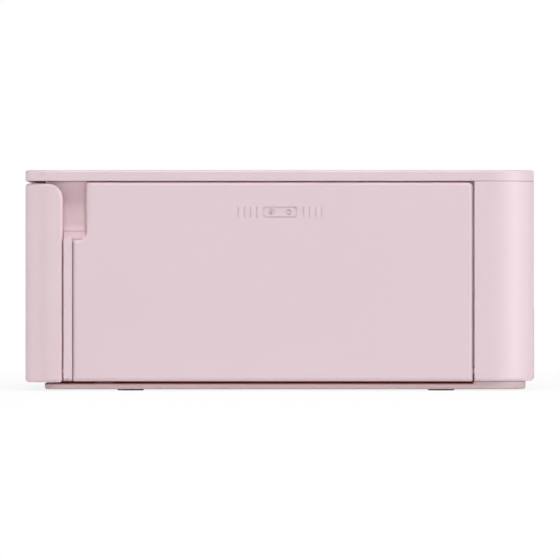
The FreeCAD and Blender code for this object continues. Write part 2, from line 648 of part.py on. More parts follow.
def make_front_frame():
    body = new_body("front_frame")
    side = inner_side - s.frame_side_gap
    frame_top = shell_top
    outline = box(-side, s.frame_low, side, frame_top)
    slot = box(slot_left, s.slot_low, slot_right, s.slot_low + s.slot_high, s.tunnel_wall)
    prism(body, "front", [outline, slot], frame_front, frame_rear)
    wall = s.tunnel_wall
    tunnel = box(slot_left - wall, s.slot_low - wall, slot_right + wall, s.slot_low + s.slot_high + wall)
    prism(body, "front", [tunnel, slot], frame_rear, front + s.tunnel_back)
    cup_back = recess_rear + s.recess_wall
    cup_inner = right - s.recess_deep
    cup_low = recess_low - s.recess_wall
    prism(body, "side", [[(frame_rear, cup_low), (cup_back, cup_low, s.recess_round + s.recess_wall),
                          (cup_back, frame_top), (frame_rear, frame_top)]],
          cup_inner - s.recess_wall, jamb_inner - s.frame_side_gap)
    prism(body, "front", [recess_hollow()], front + s.recess_front, recess_rear - s.panel_gap, cut=True)
    for place in HINGE_SIDES:
        ear_left = place - s.hinge_ear_wide / 2
        ear_y, ear_z = front + s.cover_hinge_back, s.cover_hinge_high
        prism(body, "side", [(ear_y, ear_z, s.hinge_ear_radius)], ear_left, ear_left + s.hinge_ear_wide)
        brace_low, brace_high = [ear_z + s.hinge_ear_radius * share for share in EAR_BRACE_SHARES]
        prism(body, "side", [[(ear_y, ear_z), (frame_front, brace_low), (frame_front, brace_high),
                              (ear_y, ear_z + s.hinge_ear_radius)]], ear_left, ear_left + s.hinge_ear_wide)
        prism(body, "side", [(ear_y, ear_z, s.hinge_pin_radius + s.slip)], ear_left - s.overrun,
              ear_left + s.hinge_ear_wide + s.overrun, cut=True)
    windows = [cover_catch(place, s.panel_gap) for place in CATCH_SIDES]
    prism(body, "front", windows, frame_front - s.overrun, frame_rear + s.overrun, cut=True)


HINGE_SIDES = (-s.cover_hinge_reach, s.cover_hinge_reach)
CATCH_SIDES = (-s.cover_catch_reach, s.cover_catch_reach)
# How far above its axis an ear's brace meets the frame, in ear radii.
EAR_BRACE_SHARES = (0.2, 2.2)


def make_front_cover():
    body = new_body("front_cover")
    cover_top = top_under - s.cover_top_gap
    back = front + s.cover_deep
    inner_bend = s.cover_inner_round
    inside_x, inside_y = right - s.door_wall, front + s.cover_wall
    prism(body, "top", [[(-right, front, s.front_corner_round), (right, front, s.front_corner_round),
                         (right, back), (inside_x, back), (inside_x, inside_y, inner_bend),
                         (-inside_x, inside_y, inner_bend), (-inside_x, back), (-right, back)]],
          s.cover_low, cover_top)
    for side in (-1, 1):
        low, high = (right - s.front_corner_round, right + s.overrun)
        if side < 0:
            low, high = -high, -low
        prism(body, "side", [corner_cut(back, cover_top, s.cover_top_round, s.overrun)], low, high, cut=True)
        foot = corner_cut(back, s.cover_low, s.cover_low_round, -s.overrun)
        prism(body, "side", [foot], low, high, cut=True)
    round_edges(body, s.cover_low_round, lambda edge: lies_at(edge, "Z", s.cover_low) and outer_edge(edge))
    for place in HINGE_SIDES:
        half = s.hinge_ear_wide / 2 + s.panel_gap / 2
        prism(body, "front", [box(place - half, s.cover_low - s.overrun, place + half,
                                  s.cover_hinge_high + s.hinge_ear_radius * 3)],
              front + s.hinge_skin, inside_y + s.overrun, cut=True)
        hinge_y, hinge_z = front + s.cover_hinge_back, s.cover_hinge_high
        for start in (place - half - s.hinge_lug_wide, place + half):
            lug_end = start + s.hinge_lug_wide
            prism(body, "side", [(hinge_y, hinge_z, s.hinge_ear_radius)], start, lug_end)
            prism(body, "side", [box(inside_y - s.cover_wall / 2, hinge_z - s.hinge_ear_radius,
                                     hinge_y, hinge_z + s.hinge_ear_radius)], start, lug_end)
        prism(body, "side", [(hinge_y, hinge_z, s.hinge_pin_radius)], place - half - s.hinge_lug_wide / 2,
              place + half + s.hinge_lug_wide / 2)
    far = inside_x - inner_bend - s.pocket_rib
    pockets = [box(start, s.cover_pocket_low, end, s.cover_pocket_high, s.pocket_round)
               for start, end in pocket_sides(-far, far, COVER_POCKETS)]
    prism(body, "front", pockets, inside_y - s.pocket_deep, inside_y + s.overrun, cut=True)
    for place in CATCH_SIDES:
        prism(body, "front", [cover_catch(place, 0)], inside_y - s.cover_wall / 2,
              frame_front + s.frame_wall / 2)


def cover_catch(place, margin):
    """The outline of a catch of the front cover, grown by a margin."""
    half = s.catch_wide / 2 + margin
    return box(place - half, s.cover_catch_high - margin, place + half,
               s.cover_catch_high + s.catch_high / 2 + margin)


def corner_cut(back, level, bend, past):
    """What a rounded rear corner leaves away, at the top with the overrun past it or at the foot below it."""
    inner = level - bend if past.value > 0 else level + bend
    return [(back - bend, level), (back, level, bend), (back, inner), (back + s.overrun, inner),
            (back + s.overrun, level + past), (back - bend, level + past)]


def outer_edge(edge):
    """Whether an edge of the front cover's foot is on its outer face."""
    middle = edge.BoundBox.Center
    reach = s.cover_wall.value / 2
    if edge.BoundBox.YMax < front.value + s.front_corner_round.value + reach:
        return edge.BoundBox.YMin < front.value + reach
    return abs(abs(middle.x) - right.value) < reach / 2


def make_ink_door():
    body = new_body("ink_door")
    step = recess_rear + s.panel_gap
    step_low, small_round = recess_low - s.panel_gap, s.door_rear_round / 3
    outline = [(door_front, s.door_low, small_round), (door_rear, s.door_low, small_round),
               (door_rear, door_top, s.door_rear_round), (step, door_top, small_round),
               (step, step_low, s.recess_round), (door_front, step_low, small_round)]
    prism(body, "side", [outline], door_inner, right)
    low_round = s.door_low_round
    round_edges(body, low_round, lambda edge: lies_at(edge, "Z", s.door_low) and lies_at(edge, "X", right))
    hinge_x = right - s.door_hinge_inset
    prism(body, "front", [(hinge_x, s.door_hinge_high, s.hinge_pin_radius)],
          door_front - s.strip_gap - s.door_pin_reach, door_front + s.door_pin_reach)
    prism(body, "front", [(hinge_x, s.door_hinge_high, s.hinge_pin_radius)],
          door_rear - s.door_pin_reach, door_rear + s.panel_gap + s.door_pin_reach)
    catch_middle = (door_front + door_rear) / 2
    catch_low = door_top - s.catch_high * CATCH_SHARE
    prism(body, "side", [box(catch_middle - s.catch_wide / 2, catch_low, catch_middle + s.catch_wide / 2,
                             catch_low + s.catch_high / 2)],
          door_inner - s.catch_reach, door_inner)
    near, far = door_front + s.pocket_rib * 2, door_rear - s.pocket_rib * 2
    pockets = [box(start, s.door_pocket_low, end, recess_low - s.pocket_rib * 2, s.pocket_round)
               for start, end in pocket_sides(near, far, DOOR_POCKETS)]
    prism(body, "side", pockets, door_inner - s.overrun, door_inner + s.pocket_deep, cut=True)
    sink_mark(body, 0)


# How many shallow pockets lighten the inner face of the door and of the front cover.
DOOR_POCKETS = 4
COVER_POCKETS = 6


def pocket_sides(near, far, count):
    """Where each pocket of a row starts and ends, with a rib between neighbours."""
    pitch = (far - near + s.pocket_rib) / count
    return [(near + pitch * place, near + pitch * (place + 1) - s.pocket_rib) for place in range(count)]


def sink_mark(body, middle):
    """A plain sign of a cassette with a few bars beside it, sunk a little into the door's face."""
    half_long, half_tall, line = s.mark_long / 2, s.mark_tall / 2, s.mark_line
    low, high = s.mark_high - half_tall, s.mark_high + half_tall
    reach = right - s.mark_deep, right + s.overrun
    bend = half_tall / 2
    prism(body, "side", [box(middle - half_long, low, middle + half_long, high, bend),
                         box(middle - half_long + line, low + line, middle + half_long - line, high - line,
                             bend - line)], *reach, cut=True)
    for side in (-1, 1):
        ring_y = middle + half_long / 2 * side
        prism(body, "side", [(ring_y, s.mark_high, s.mark_ring), (ring_y, s.mark_high, s.mark_ring - line)],
              *reach, cut=True)
        starts = [middle + (half_long + s.mark_bar_step * place) * side - line / 2 for place in (1, 2, 3, 4)]
        prism(body, "side", [box(start, low, start + line, high) for start in starts], *reach, cut=True)


def make_top_cover():
    body = new_body("top_cover")
    prism(body, "top", [[(-right, front, s.front_corner_round), (right, front, s.front_corner_round),
                         (right, rear, s.rear_corner_round), (-right, rear, s.rear_corner_round)]],
          top_under, top)
    round_edges(body, s.top_edge_round, lambda edge: lies_at(edge, "Z", top))
    inset = s.top_lip_inset
    hollow_bend = s.rear_corner_round - inset
    far, back = right - inset, rear - inset
    hollow_near = front + s.front_corner_round
    prism(body, "top", [[(-far, hollow_near), (far, hollow_near), (far, back, hollow_bend),
                         (-far, back, hollow_bend)]], top_under - s.overrun, top - s.top_wall, cut=True)
    near, wall = front + s.top_lip_back, s.top_lip_wall
    prism(body, "top", [[(-far, near), (-far + wall, near), (-far + wall, back - wall, hollow_bend - wall),
                         (far - wall, back - wall, hollow_bend - wall), (far - wall, near), (far, near),
                         (far, back, hollow_bend), (-far, back, hollow_bend)]],
          top_under - s.top_lip_high, top - s.top_wall)
    x0, y0, x1, y1 = window_box(0)
    prism(body, "top", [box(x0, y0, x1, y1, s.window_round)], top - s.window_thick, top + s.overrun, cut=True)
    margin = s.display_margin
    prism(body, "top", [box(x0 + margin, y0 + margin, x1 - margin, y1 - margin)],
          top - s.top_wall - s.overrun, top, cut=True)
    for x, y in SCREW_PLACES:
        prism(body, "top", [(x, y, s.boss_radius + s.panel_gap)], top_under - s.top_lip_high - s.overrun,
              top_under, cut=True)
    for shape in BUTTONS.values():
        prism(body, "top", [shape(s.button_gap)], top - s.top_wall - s.overrun, top + s.overrun, cut=True)
    x0, y0, x1, y1 = key_board_box()
    inset = s.post_foot_inset
    posts = [(x, y, s.post_foot_radius) for x in (x0 + inset, x1 - inset) for y in (y0 + inset, y1 - inset)]
    prism(body, "top", posts, s.key_board_high + s.board_thick, top - s.top_wall)


def window_box(grow):
    centre_x, centre_y = -s.window_centre_left, -s.window_centre_front
    return (centre_x - s.window_wide / 2 - grow, centre_y - s.window_deep / 2 - grow,
            centre_x + s.window_wide / 2 + grow, centre_y + s.window_deep / 2 + grow)


def pill(x, y, long, wide, grow):
    half_long, half_wide = long / 2 + grow, wide / 2 + grow
    return box(x - half_long, y - half_wide, x + half_long, y + half_wide, half_wide)


BUTTONS = {
    "power_button": lambda grow: (keys_x + s.key_step, keys_y + s.high_key_up, s.key_radius + grow),
    "home_button": lambda grow: (keys_x - s.key_step, keys_y + s.side_key_up, s.key_radius + grow),
    "back_button": lambda grow: (keys_x - s.key_step, keys_y - s.side_key_up, s.key_radius + grow),
    "navigation_pad": lambda grow: (keys_x, keys_y, s.pad_radius + grow),
    "print_button": lambda grow: pill(keys_x + s.key_step / 2, keys_y - s.high_key_up,
                                      s.print_long, s.print_wide, grow),
}


def make_display_window():
    body = new_body("display_window")
    x0, y0, x1, y1 = window_box(-s.slip)
    prism(body, "top", [box(x0, y0, x1, y1, s.window_round)], top - s.window_thick, top)


def make_display_panel():
    body = new_body("display_panel")
    x0, y0, x1, y1 = window_box(-s.display_margin - s.slip)
    high = top - s.window_thick
    prism(body, "top", [box(x0, y0, x1, y1)], high - s.display_thick, high)


def flange_levels():
    flange_top = top - s.top_wall - s.panel_gap
    return flange_top - s.button_flange, flange_top


def make_buttons():
    flange_low, flange_top = flange_levels()
    for name, shape in BUTTONS.items():
        body = new_body(name)
        prism(body, "top", [shape(0)], flange_low, top)
        prism(body, "top", [shape(s.button_flange_wide)], flange_low, flange_top)
        if name == "navigation_pad":
            wide = s.ok_radius + s.button_flange_wide + s.panel_gap
            prism(body, "top", [(keys_x, keys_y, s.ok_radius + s.button_gap)], flange_low - s.overrun,
                  top + s.overrun, cut=True)
            prism(body, "top", [(keys_x, keys_y, wide)], flange_low - s.overrun,
                  flange_low + s.button_flange + s.slip, cut=True)
    body = new_body("ok_button")
    prism(body, "top", [(keys_x, keys_y, s.ok_radius)], flange_low, top)
    prism(body, "top", [(keys_x, keys_y, s.ok_radius + s.button_flange_wide)], flange_low,
          flange_low + s.ok_flange)


def button_centres():
    """The middle of each switch under the buttons, the four of the pad included."""
    out = s.ok_radius + (s.pad_radius - s.ok_radius) / 2
    places = [(keys_x, keys_y)]
    places += [(keys_x + out * step_x, keys_y + out * step_y)
               for step_x, step_y in ((1, 0), (-1, 0), (0, 1), (0, -1))]
    places += [(keys_x + s.key_step, keys_y + s.high_key_up)]
    places += [(keys_x + s.key_step / 2, keys_y - s.high_key_up)]
    places += [(keys_x - s.key_step, keys_y + s.side_key_up * side) for side in (1, -1)]
    return places


def key_board_box():
    margin = s.key_board_margin
    return (keys_x - s.key_step - margin, keys_y - s.high_key_up - margin,
            keys_x + s.key_step + margin, keys_y + s.high_key_up + margin)


def make_button_board():
    body = new_body("button_board")
    x0, y0, x1, y1 = key_board_box()
    prism(body, "top", [box(x0, y0, x1, y1, s.window_round)], s.key_board_high,
          s.key_board_high + s.board_thick)
    domes = new_body("button_domes")
    board_top = s.key_board_high + s.board_thick
    dome_top = flange_levels()[0] - s.button_travel - s.button_gap
    prism(domes, "top", [(x, y, s.key_dome_radius) for x, y in button_centres()], board_top, dome_top)
    round_edges(domes, s.key_dome_radius / 3, lambda edge: lies_at(edge, "Z", dome_top))


def roller_axes():
    return [(platen_y, platen_z), (capstan_y, capstan_z), (feed_y, feed_z)]


def make_chassis():
    bush = s.shaft_radius + s.bush_wall
    pivot = (front + s.head_pivot_back, s.head_pivot_high)
    outline = box(plate_front, base_top, plate_rear, plate_top, s.plate_round)
    left_body = new_body("chassis_left_plate")
    prism(left_body, "side", [outline], plate_left_outer, plate_left)
    holes = [(y, z, bush) for y, z in roller_axes()]
    holes += [(capstan_y, pinch_z, s.pinch_shaft_radius + s.slip), (pivot[0], pivot[1], s.head_rod_radius)]
    spindles = [(y, take_up_z, s.spindle_radius + s.slip) for y in (take_up_y, supply_y)]
    posts = [(reduction_y, reduction_z, s.post_radius)]
    prism(left_body, "side", holes + spindles + posts, plate_left_outer - s.overrun,
          plate_left + s.overrun, cut=True)
    right_body = new_body("chassis_right_plate")
    prism(right_body, "side", [outline], plate_right, plate_right_outer)
    prism(right_body, "side", holes, plate_right - s.overrun, plate_right_outer + s.overrun, cut=True)
    prism(right_body, "side", [bay_outline(s.bay_margin)], plate_right - s.overrun,
          plate_right_outer + s.overrun, cut=True)
    pan = new_body("chassis_base_pan")
    pan_top = base_top + s.plate_thick
    prism(pan, "top", [box(plate_left, plate_front, plate_right, plate_rear)], base_top, pan_top)
    lip = s.tie_wide / 2
    for near in (plate_front, plate_rear - s.plate_thick):
        prism(pan, "top", [box(plate_left, near, plate_right, near + s.plate_thick)], pan_top, pan_top + lip)
    bars = new_body("chassis_tie_bars")
    bar_top = plate_top - s.plate_round / 2
    near = plate_front + s.plate_round
    channel = [(near, bar_top - s.tie_wide), (near + s.plate_thick, bar_top - s.tie_wide),
               (near + s.plate_thick, bar_top - s.plate_thick),
               (near + s.tie_wide, bar_top - s.plate_thick), (near + s.tie_wide, bar_top), (near, bar_top)]
    prism(bars, "side", [channel], plate_left, plate_right)
    rod = new_body("head_pivot_rod")
    turned(rod, "front", [box(plate_left_outer - s.shaft_end, 0, plate_right_outer + s.shaft_end,
                              s.head_rod_radius)], pivot[0], up=pivot[1])
    bushes = new_body("roller_bushes")
    sleeve = s.shaft_radius + s.slip
    for y, z in roller_axes():
        for start, inward in ((plate_left_outer, 1), (plate_right, -1)):
            prism(bushes, "side", [(y, z, bush), (y, z, sleeve)], start, start + s.plate_thick)
            flange_low = start + s.plate_thick if inward > 0 else start - s.bush_flange
            prism(bushes, "side", [(y, z, bush + s.bush_flange), (y, z, sleeve)], flange_low,
                  flange_low + s.bush_flange)


def make_rollers():
    far = plate_right_outer + s.shaft_end
    left_end, right_end = plate_left + s.roller_margin, plate_right - s.roller_margin
    shaft = new_body("platen_shaft")
    turned(shaft, "front", [box(plate_left_outer - s.shaft_end / 2, 0, far, s.shaft_radius)], platen_y,
           up=platen_z)
    sleeve = new_body("platen_sleeve")
    bend = s.platen_radius / 12
    turned(sleeve, "front", [[(left_end, s.shaft_radius), (right_end, s.shaft_radius),
                              (right_end, s.platen_radius, bend), (left_end, s.platen_radius, bend)]],
           platen_y, up=platen_z)
    capstan = new_body("capstan_roller")
    turned(capstan, "front", [[(gear_left, 0), (far, 0), (far, s.shaft_radius), (right_end, s.shaft_radius),
                               (right_end, s.capstan_radius), (left_end, s.capstan_radius),
                               (left_end, s.shaft_radius), (gear_left, s.shaft_radius)]],
           capstan_y, up=capstan_z)
    pinch = new_body("pinch_roller")
    turned(pinch, "front", [[(plate_left_outer - s.shaft_end / 2, 0), (far, 0), (far, s.pinch_shaft_radius),
                             (right_end, s.pinch_shaft_radius), (right_end, s.pinch_radius),
                             (left_end, s.pinch_radius), (left_end, s.pinch_shaft_radius),
                             (plate_left_outer - s.shaft_end / 2, s.pinch_shaft_radius)]],
           capstan_y, up=pinch_z)
    feed = new_body("feed_shaft")
    turned(feed, "front", [box(gear_left, 0, far, s.shaft_radius)], feed_y, up=feed_z)
    tyres = new_body("feed_tyres")
    for side in (-1, 1):
        start = middle_x + s.feed_tyre_apart / 2 * side - s.feed_tyre_wide / 2
        end = start + s.feed_tyre_wide
        turned(tyres, "front", [[(start, s.shaft_radius), (end, s.shaft_radius), (end, s.feed_radius, bend),
                                 (start, s.feed_radius, bend)]], feed_y, up=feed_z)
    springs = new_body("pinch_springs")
    high = pinch_z + s.pinch_shaft_radius + s.slip * 3
    thick = s.pinch_shaft_radius / 4
    strip = [(capstan_y - s.pinch_radius, high), (capstan_y + s.pinch_radius * 2, high),
             (capstan_y + s.pinch_radius * 2, high + thick), (capstan_y - s.pinch_radius, high + thick)]
    wide = s.roller_margin - s.bush_flange - s.panel_gap
    for start in (plate_left, plate_right - wide):
        prism(springs, "side", [strip], start, start + wide)


def make_gears():
    capstan = new_body("capstan_gear")
    teeth(capstan, s.capstan_teeth, gear_left, capstan_y, capstan_z, capstan_turn)
    prism(capstan, "side", [(capstan_y, capstan_z, s.shaft_radius)], gear_left - s.overrun,
          gear_right + s.overrun, cut=True)
    feed = new_body("feed_gear")
    teeth(feed, s.feed_teeth, gear_left, feed_y, feed_z, feed_turn)
    prism(feed, "side", [(feed_y, feed_z, s.shaft_radius)], gear_left - s.overrun,
          gear_right + s.overrun, cut=True)
    reduction = new_body("reduction_gear")
    teeth(reduction, s.reduction_small_teeth, gear_left, reduction_y, reduction_z, small_turn)
    prism(reduction, "side", [(reduction_y, reduction_z, s.gear_hub_radius)], outer_gear_right, gear_left)
    teeth(reduction, s.reduction_teeth, outer_gear_left, reduction_y, reduction_z, small_turn)
    prism(reduction, "side", [(reduction_y, reduction_z, s.post_radius + s.slip)],
          outer_gear_left - s.overrun, gear_right + s.overrun, cut=True)
    pinion = new_body("motor_pinion")
    teeth(pinion, s.pinion_teeth, outer_gear_left, pinion_y, pinion_z, pinion_turn)
    prism(pinion, "side", [(pinion_y, pinion_z, s.motor_shaft_radius)], bracket_left - s.overrun,
          outer_gear_left)
    take_up = new_body("take_up_spindle")
    teeth(take_up, s.take_up_teeth, gear_left, take_up_y, take_up_z, take_up_turn)
    make_spindle(take_up, take_up_y, gear_right)
    supply = new_body("supply_spindle")
    prism(supply, "side", [(supply_y, take_up_z, s.core_radius)], gear_right - s.gear_wide / 2, gear_right)
    make_spindle(supply, supply_y, gear_right)
    tip = s.reduction_teeth * s.tooth_module / 2
    bracket = new_body("motor_bracket")
    margin = s.post_radius * 2
    post_y, post_z = zip(*bracket_posts(tip))
    y_low, y_high = post_y[0] - margin, post_y[1] + margin
    z_low, z_high = post_z[1] - margin, post_z[2] + margin
    prism(bracket, "side", [box(y_low, z_low, y_high, z_high, margin)], bracket_left, bracket_right)
    prism(bracket, "side", [(pinion_y, pinion_z, s.motor_shaft_radius * 3)], bracket_left - s.overrun,
          bracket_right + s.overrun, cut=True)
    prism(bracket, "side", [(reduction_y, reduction_z, s.post_radius)], bracket_right, plate_left)
    prism(bracket, "side", [(y, z, s.bracket_post_radius) for y, z in bracket_posts(tip)], bracket_right,
          plate_left_outer)
    motor = new_body("drive_motor")
    start = bracket_left - s.motor_long
    bend = s.motor_radius / 8
    turned(motor, "front", [[(start, 0), (bracket_left, 0), (bracket_left, s.motor_radius),
                             (start, s.motor_radius, bend)]], pinion_y, up=pinion_z)
    prism(motor, "side", [(pinion_y, pinion_z, s.motor_shaft_radius + s.slip)],
          bracket_left - s.motor_long / 3, bracket_left + s.overrun, cut=True)


# The places of the bracket's three posts about the large gear, in shares of that gear's radius.
BRACKET_POST_SHARES = ((-1.2, 0.95), (1.5, 0), (0, 1.6))


def bracket_posts(reach):
    return [(reduction_y + reach * along, reduction_z + reach * up) for along, up in BRACKET_POST_SHARES]


def make_spindle(body, axis_y, start):
    """A winding spindle that runs through the left plate into a spool's bore, with three fins."""
    end = plate_left + s.cassette_clear + s.spindle_reach
    fin_start = plate_left + s.cassette_clear / 2
    prism(body, "side", [(axis_y, take_up_z, s.spindle_radius)], start, end)
    half = s.spindle_fin_wide / 2
    fin = prism(body, "side", [box(0, -half, s.spindle_radius + s.spindle_fin_high, half)], fin_start, end,
                across=axis_y, up=take_up_z)
    repeat_round(body, fin, 3)


def cassette_span():
    start = plate_left + s.cassette_clear
    return start, start + s.cassette_long


# How far the cassette's two film windows and the film's bends reach, in shares of their case or roll.
WINDOW_TOP_SHARE = 0.6
BEND_SHARE = 0.9


def make_cassette():
    start, end = cassette_span()
    shell = new_body("ink_cassette_shell")
    cases = [(take_up_y, take_up_z, s.take_up_case_radius), (supply_y, take_up_z, s.supply_case_radius)]
    inner = [(y, z, radius - s.case_wall) for y, z, radius in cases]
    prism(shell, "side", cases + inner, start, end)
    slot_top = take_up_z - s.take_up_case_radius * WINDOW_TOP_SHARE
    prism(shell, "side", [box(supply_y - s.supply_case_radius, take_up_z - s.supply_case_radius - s.overrun,
                              supply_y, slot_top)], start + s.end_wall, end - s.end_wall, cut=True)
    prism(shell, "side", [box(take_up_y, take_up_z - s.supply_case_radius - s.overrun,
                              take_up_y + s.take_up_case_radius, slot_top)], start + s.end_wall,
          end - s.end_wall, cut=True)
    core_seat = s.core_radius + s.slip
    seats = [(y, take_up_z, core_seat) for y in (take_up_y, supply_y)]
    prism(shell, "side", [bay_outline(0)] + seats, start, start + s.end_wall)
    prism(shell, "side", [bay_outline(0)], end - s.end_wall, end + s.cassette_grip_deep)
    grip = bay_outline(-s.cassette_grip_deep / 2)
    prism(shell, "side", [grip], end + s.end_wall, end + s.cassette_grip_deep + s.overrun, cut=True)
    rib = s.end_wall / 2
    middle = (take_up_y + supply_y) / 2
    prism(shell, "side", [box(middle - rib, take_up_z - s.supply_case_radius + rib, middle + rib,
                              take_up_z + s.supply_case_radius - rib)], end, end + s.cassette_grip_deep)
    boss = s.core_bore - s.slip * 2
    prism(shell, "side", [(take_up_y, take_up_z, boss), (supply_y, take_up_z, boss)],
          end - s.end_wall - s.roller_margin, end - s.end_wall)
    make_spool("supply_spool", supply_y)
    make_spool("take_up_spool", take_up_y)
    roll_start, roll_end = film_span()
    roll = new_body("supply_film_roll")
    prism(roll, "side", [(supply_y, take_up_z, s.film_roll_radius), (supply_y, take_up_z, s.core_radius)],
          roll_start, roll_end)
    film = new_body("ribbon_film")
    low = s.paper_line + s.film_rise
    thick = s.film_thick
    supply_low = take_up_z - s.film_roll_radius - thick * 2
    wound_low = take_up_z - s.core_radius - thick * 2
    near, far = take_up_y + s.film_roll_radius * BEND_SHARE, supply_y - s.supply_case_radius * BEND_SHARE
    prism(film, "side", [[(take_up_y, wound_low), (near, low), (far, low), (supply_y, supply_low),
                          (supply_y, supply_low + thick), (far, low + thick), (near, low + thick),
                          (take_up_y, wound_low + thick)]], roll_start, roll_end)


def film_span():
    start, end = cassette_span()
    inset = s.end_wall + s.core_flange * 2 + s.panel_gap * 2
    return start + inset, end - inset


def make_spool(name, axis_y):
    start, end = cassette_span()
    body = new_body(name)
    core_start, core_end = start + s.panel_gap, end - s.end_wall - s.panel_gap
    flange_start = start + s.end_wall + s.panel_gap
    prism(body, "side", [(axis_y, take_up_z, s.core_radius), (axis_y, take_up_z, s.core_bore)], core_start,
          core_end)
    for low in (flange_start, core_end - s.core_flange):
        prism(body, "side", [(axis_y, take_up_z, s.core_flange_radius), (axis_y, take_up_z, s.core_bore)],
              low, low + s.core_flange)
    half = s.core_key_wide / 2
    key_low = s.core_bore - s.core_key_high
    key = prism(body, "side", [box(key_low, -half, s.core_bore + s.core_flange / 2, half)], core_start,
                core_start + s.spindle_reach, across=axis_y, up=take_up_z, turn=60.0)
    repeat_round(body, key, 3)


def head_places():
    head_y = platen_y - s.head_forward
    low = s.paper_line + s.film_rise + s.film_thick * 2 + s.head_lift
    return head_y - s.head_wide / 2, head_y + s.head_wide / 2, low


def make_print_head():
    near, far, low = head_places()
    start, end = middle_x - s.head_long / 2, middle_x + s.head_long / 2
    board_top = low + s.head_board
    arm_low = take_up_z + s.supply_case_radius + s.head_arm_rise
    arm_top = arm_low + s.head_arm_thick
    web = far - s.head_arm_thick
    head = new_body("thermal_head")
    nose = s.head_board / 3
    prism(head, "side", [[(near, board_top), (near, low + nose), (near + nose, low + nose),
                          (near + nose * 3, low), (far - nose * 3, low), (far - nose, low + nose),
                          (far, low + nose), (far, board_top)]], start, end)
    sink = new_body("head_heat_sink")
    prism(sink, "side", [box(near, board_top, web, arm_low)], start, end)
    half = s.head_fin_gap / 2
    first = start + s.head_fin_step - half
    slot = prism(sink, "front", [box(first, arm_low - s.head_fin_deep, first + s.head_fin_gap,
                                     arm_low - s.head_arm_thick)],
                 near - s.overrun, web + s.overrun, cut=True)
    repeat_along(sink, slot, "H_Axis", s.head_fin_step * (s.head_fin_count - 2), s.head_fin_count - 1)
    arm = new_body("print_head_arm")
    pivot_y, pivot_z = front + s.head_pivot_back, s.head_pivot_high
    eye = s.head_eye_radius
    prism(arm, "side", [[(near, arm_low), (web, arm_low), (web, board_top), (far, board_top), (far, arm_low),
                         (pivot_y, arm_low), (pivot_y, arm_top), (near, arm_top)]], start, end)
    cheek_left, cheek_right = plate_left + s.roller_margin / 2, plate_right - s.roller_margin / 2
    prism(arm, "side", [box(pivot_y - eye - s.head_arm_thick, arm_low, pivot_y, arm_top)],
          cheek_left, cheek_right)
    for low_x in (cheek_left, cheek_right - s.head_arm_thick):
        prism(arm, "side", [(pivot_y, pivot_z, eye)], low_x, low_x + s.head_arm_thick)
        prism(arm, "side", [box(pivot_y - eye, pivot_z, pivot_y, arm_top)], low_x, low_x + s.head_arm_thick)
    prism(arm, "side", [(pivot_y, pivot_z, s.head_rod_radius + s.slip)], cheek_left - s.overrun,
          cheek_right + s.overrun, cut=True)


def make_paper_guides():
    guide_top = s.paper_line - s.guide_rib_high
    pan_top = base_top + s.plate_thick
    clear = s.shaft_radius + s.bush_wall + s.bush_flange + s.panel_gap
    wall = s.guide_thick
    half_wall = wall / 2
    near, far = plate_front + s.plate_thick + s.panel_gap, capstan_y - clear
    front_guide = new_body("front_paper_guide")
    prism(front_guide, "side", [[(near, pan_top), (near + wall, pan_top), (near + wall, guide_top - wall),
                                 (far - wall, guide_top - wall), (far - wall, pan_top), (far, pan_top),
                                 (far, guide_top, half_wall), (near, guide_top, half_wall)]],
          plate_left, plate_right)
    guide_ribs(front_guide, near + wall, far - wall)
    near, far = capstan_y + clear, plate_rear - s.plate_thick - s.panel_gap
    trough_near = platen_y - s.platen_radius - s.panel_gap
    trough_far = platen_y + s.platen_radius + s.panel_gap
    rear_guide = new_body("rear_paper_guide")
    prism(rear_guide, "side", [[(near, pan_top), (near + wall, pan_top), (near + wall, guide_top - wall),
                                (trough_near - wall, guide_top - wall), (trough_near - wall, pan_top),
                                (trough_far + wall, pan_top), (trough_far + wall, guide_top - wall),
                                (far - wall, guide_top - wall), (far - wall, pan_top), (far, pan_top),
                                (far, guide_top, half_wall), (trough_far, guide_top, half_wall),
                                (trough_far, pan_top + wall), (trough_near, pan_top + wall),
                                (trough_near, guide_top, half_wall), (near, guide_top, half_wall)]],
          plate_left, plate_right)
    guide_ribs(rear_guide, near + wall, trough_near - wall)
    guide_ribs(rear_guide, trough_far + wall, far - wall)
    baffle = new_body("rear_baffle")
    sheet_low = base_top + s.rim_high + s.panel_gap
    prism(baffle, "front", [box(plate_left_outer, sheet_low, plate_right_outer, s.baffle_high, s.plate_round),
                            box(slot_left, s.rear_slot_low, slot_right, s.rear_slot_low + s.rear_slot_high,
                                s.plate_thick)], plate_rear, plate_rear + s.baffle_wall)


def guide_ribs(body, near, far):
    """The low ribs that the paper slides on, across one flat stretch of a guide."""
    guide_top = s.paper_line - s.guide_rib_high
    step = s.slot_wide / s.guide_rib_count
    first = slot_left + step / 2
    rib = prism(body, "front", [box(first, guide_top - s.guide_thick / 2, first + s.guide_rib_wide,
                                    s.paper_line)], near, far)
    repeat_along(body, rib, "H_Axis", step * (s.guide_rib_count - 1), s.guide_rib_count)


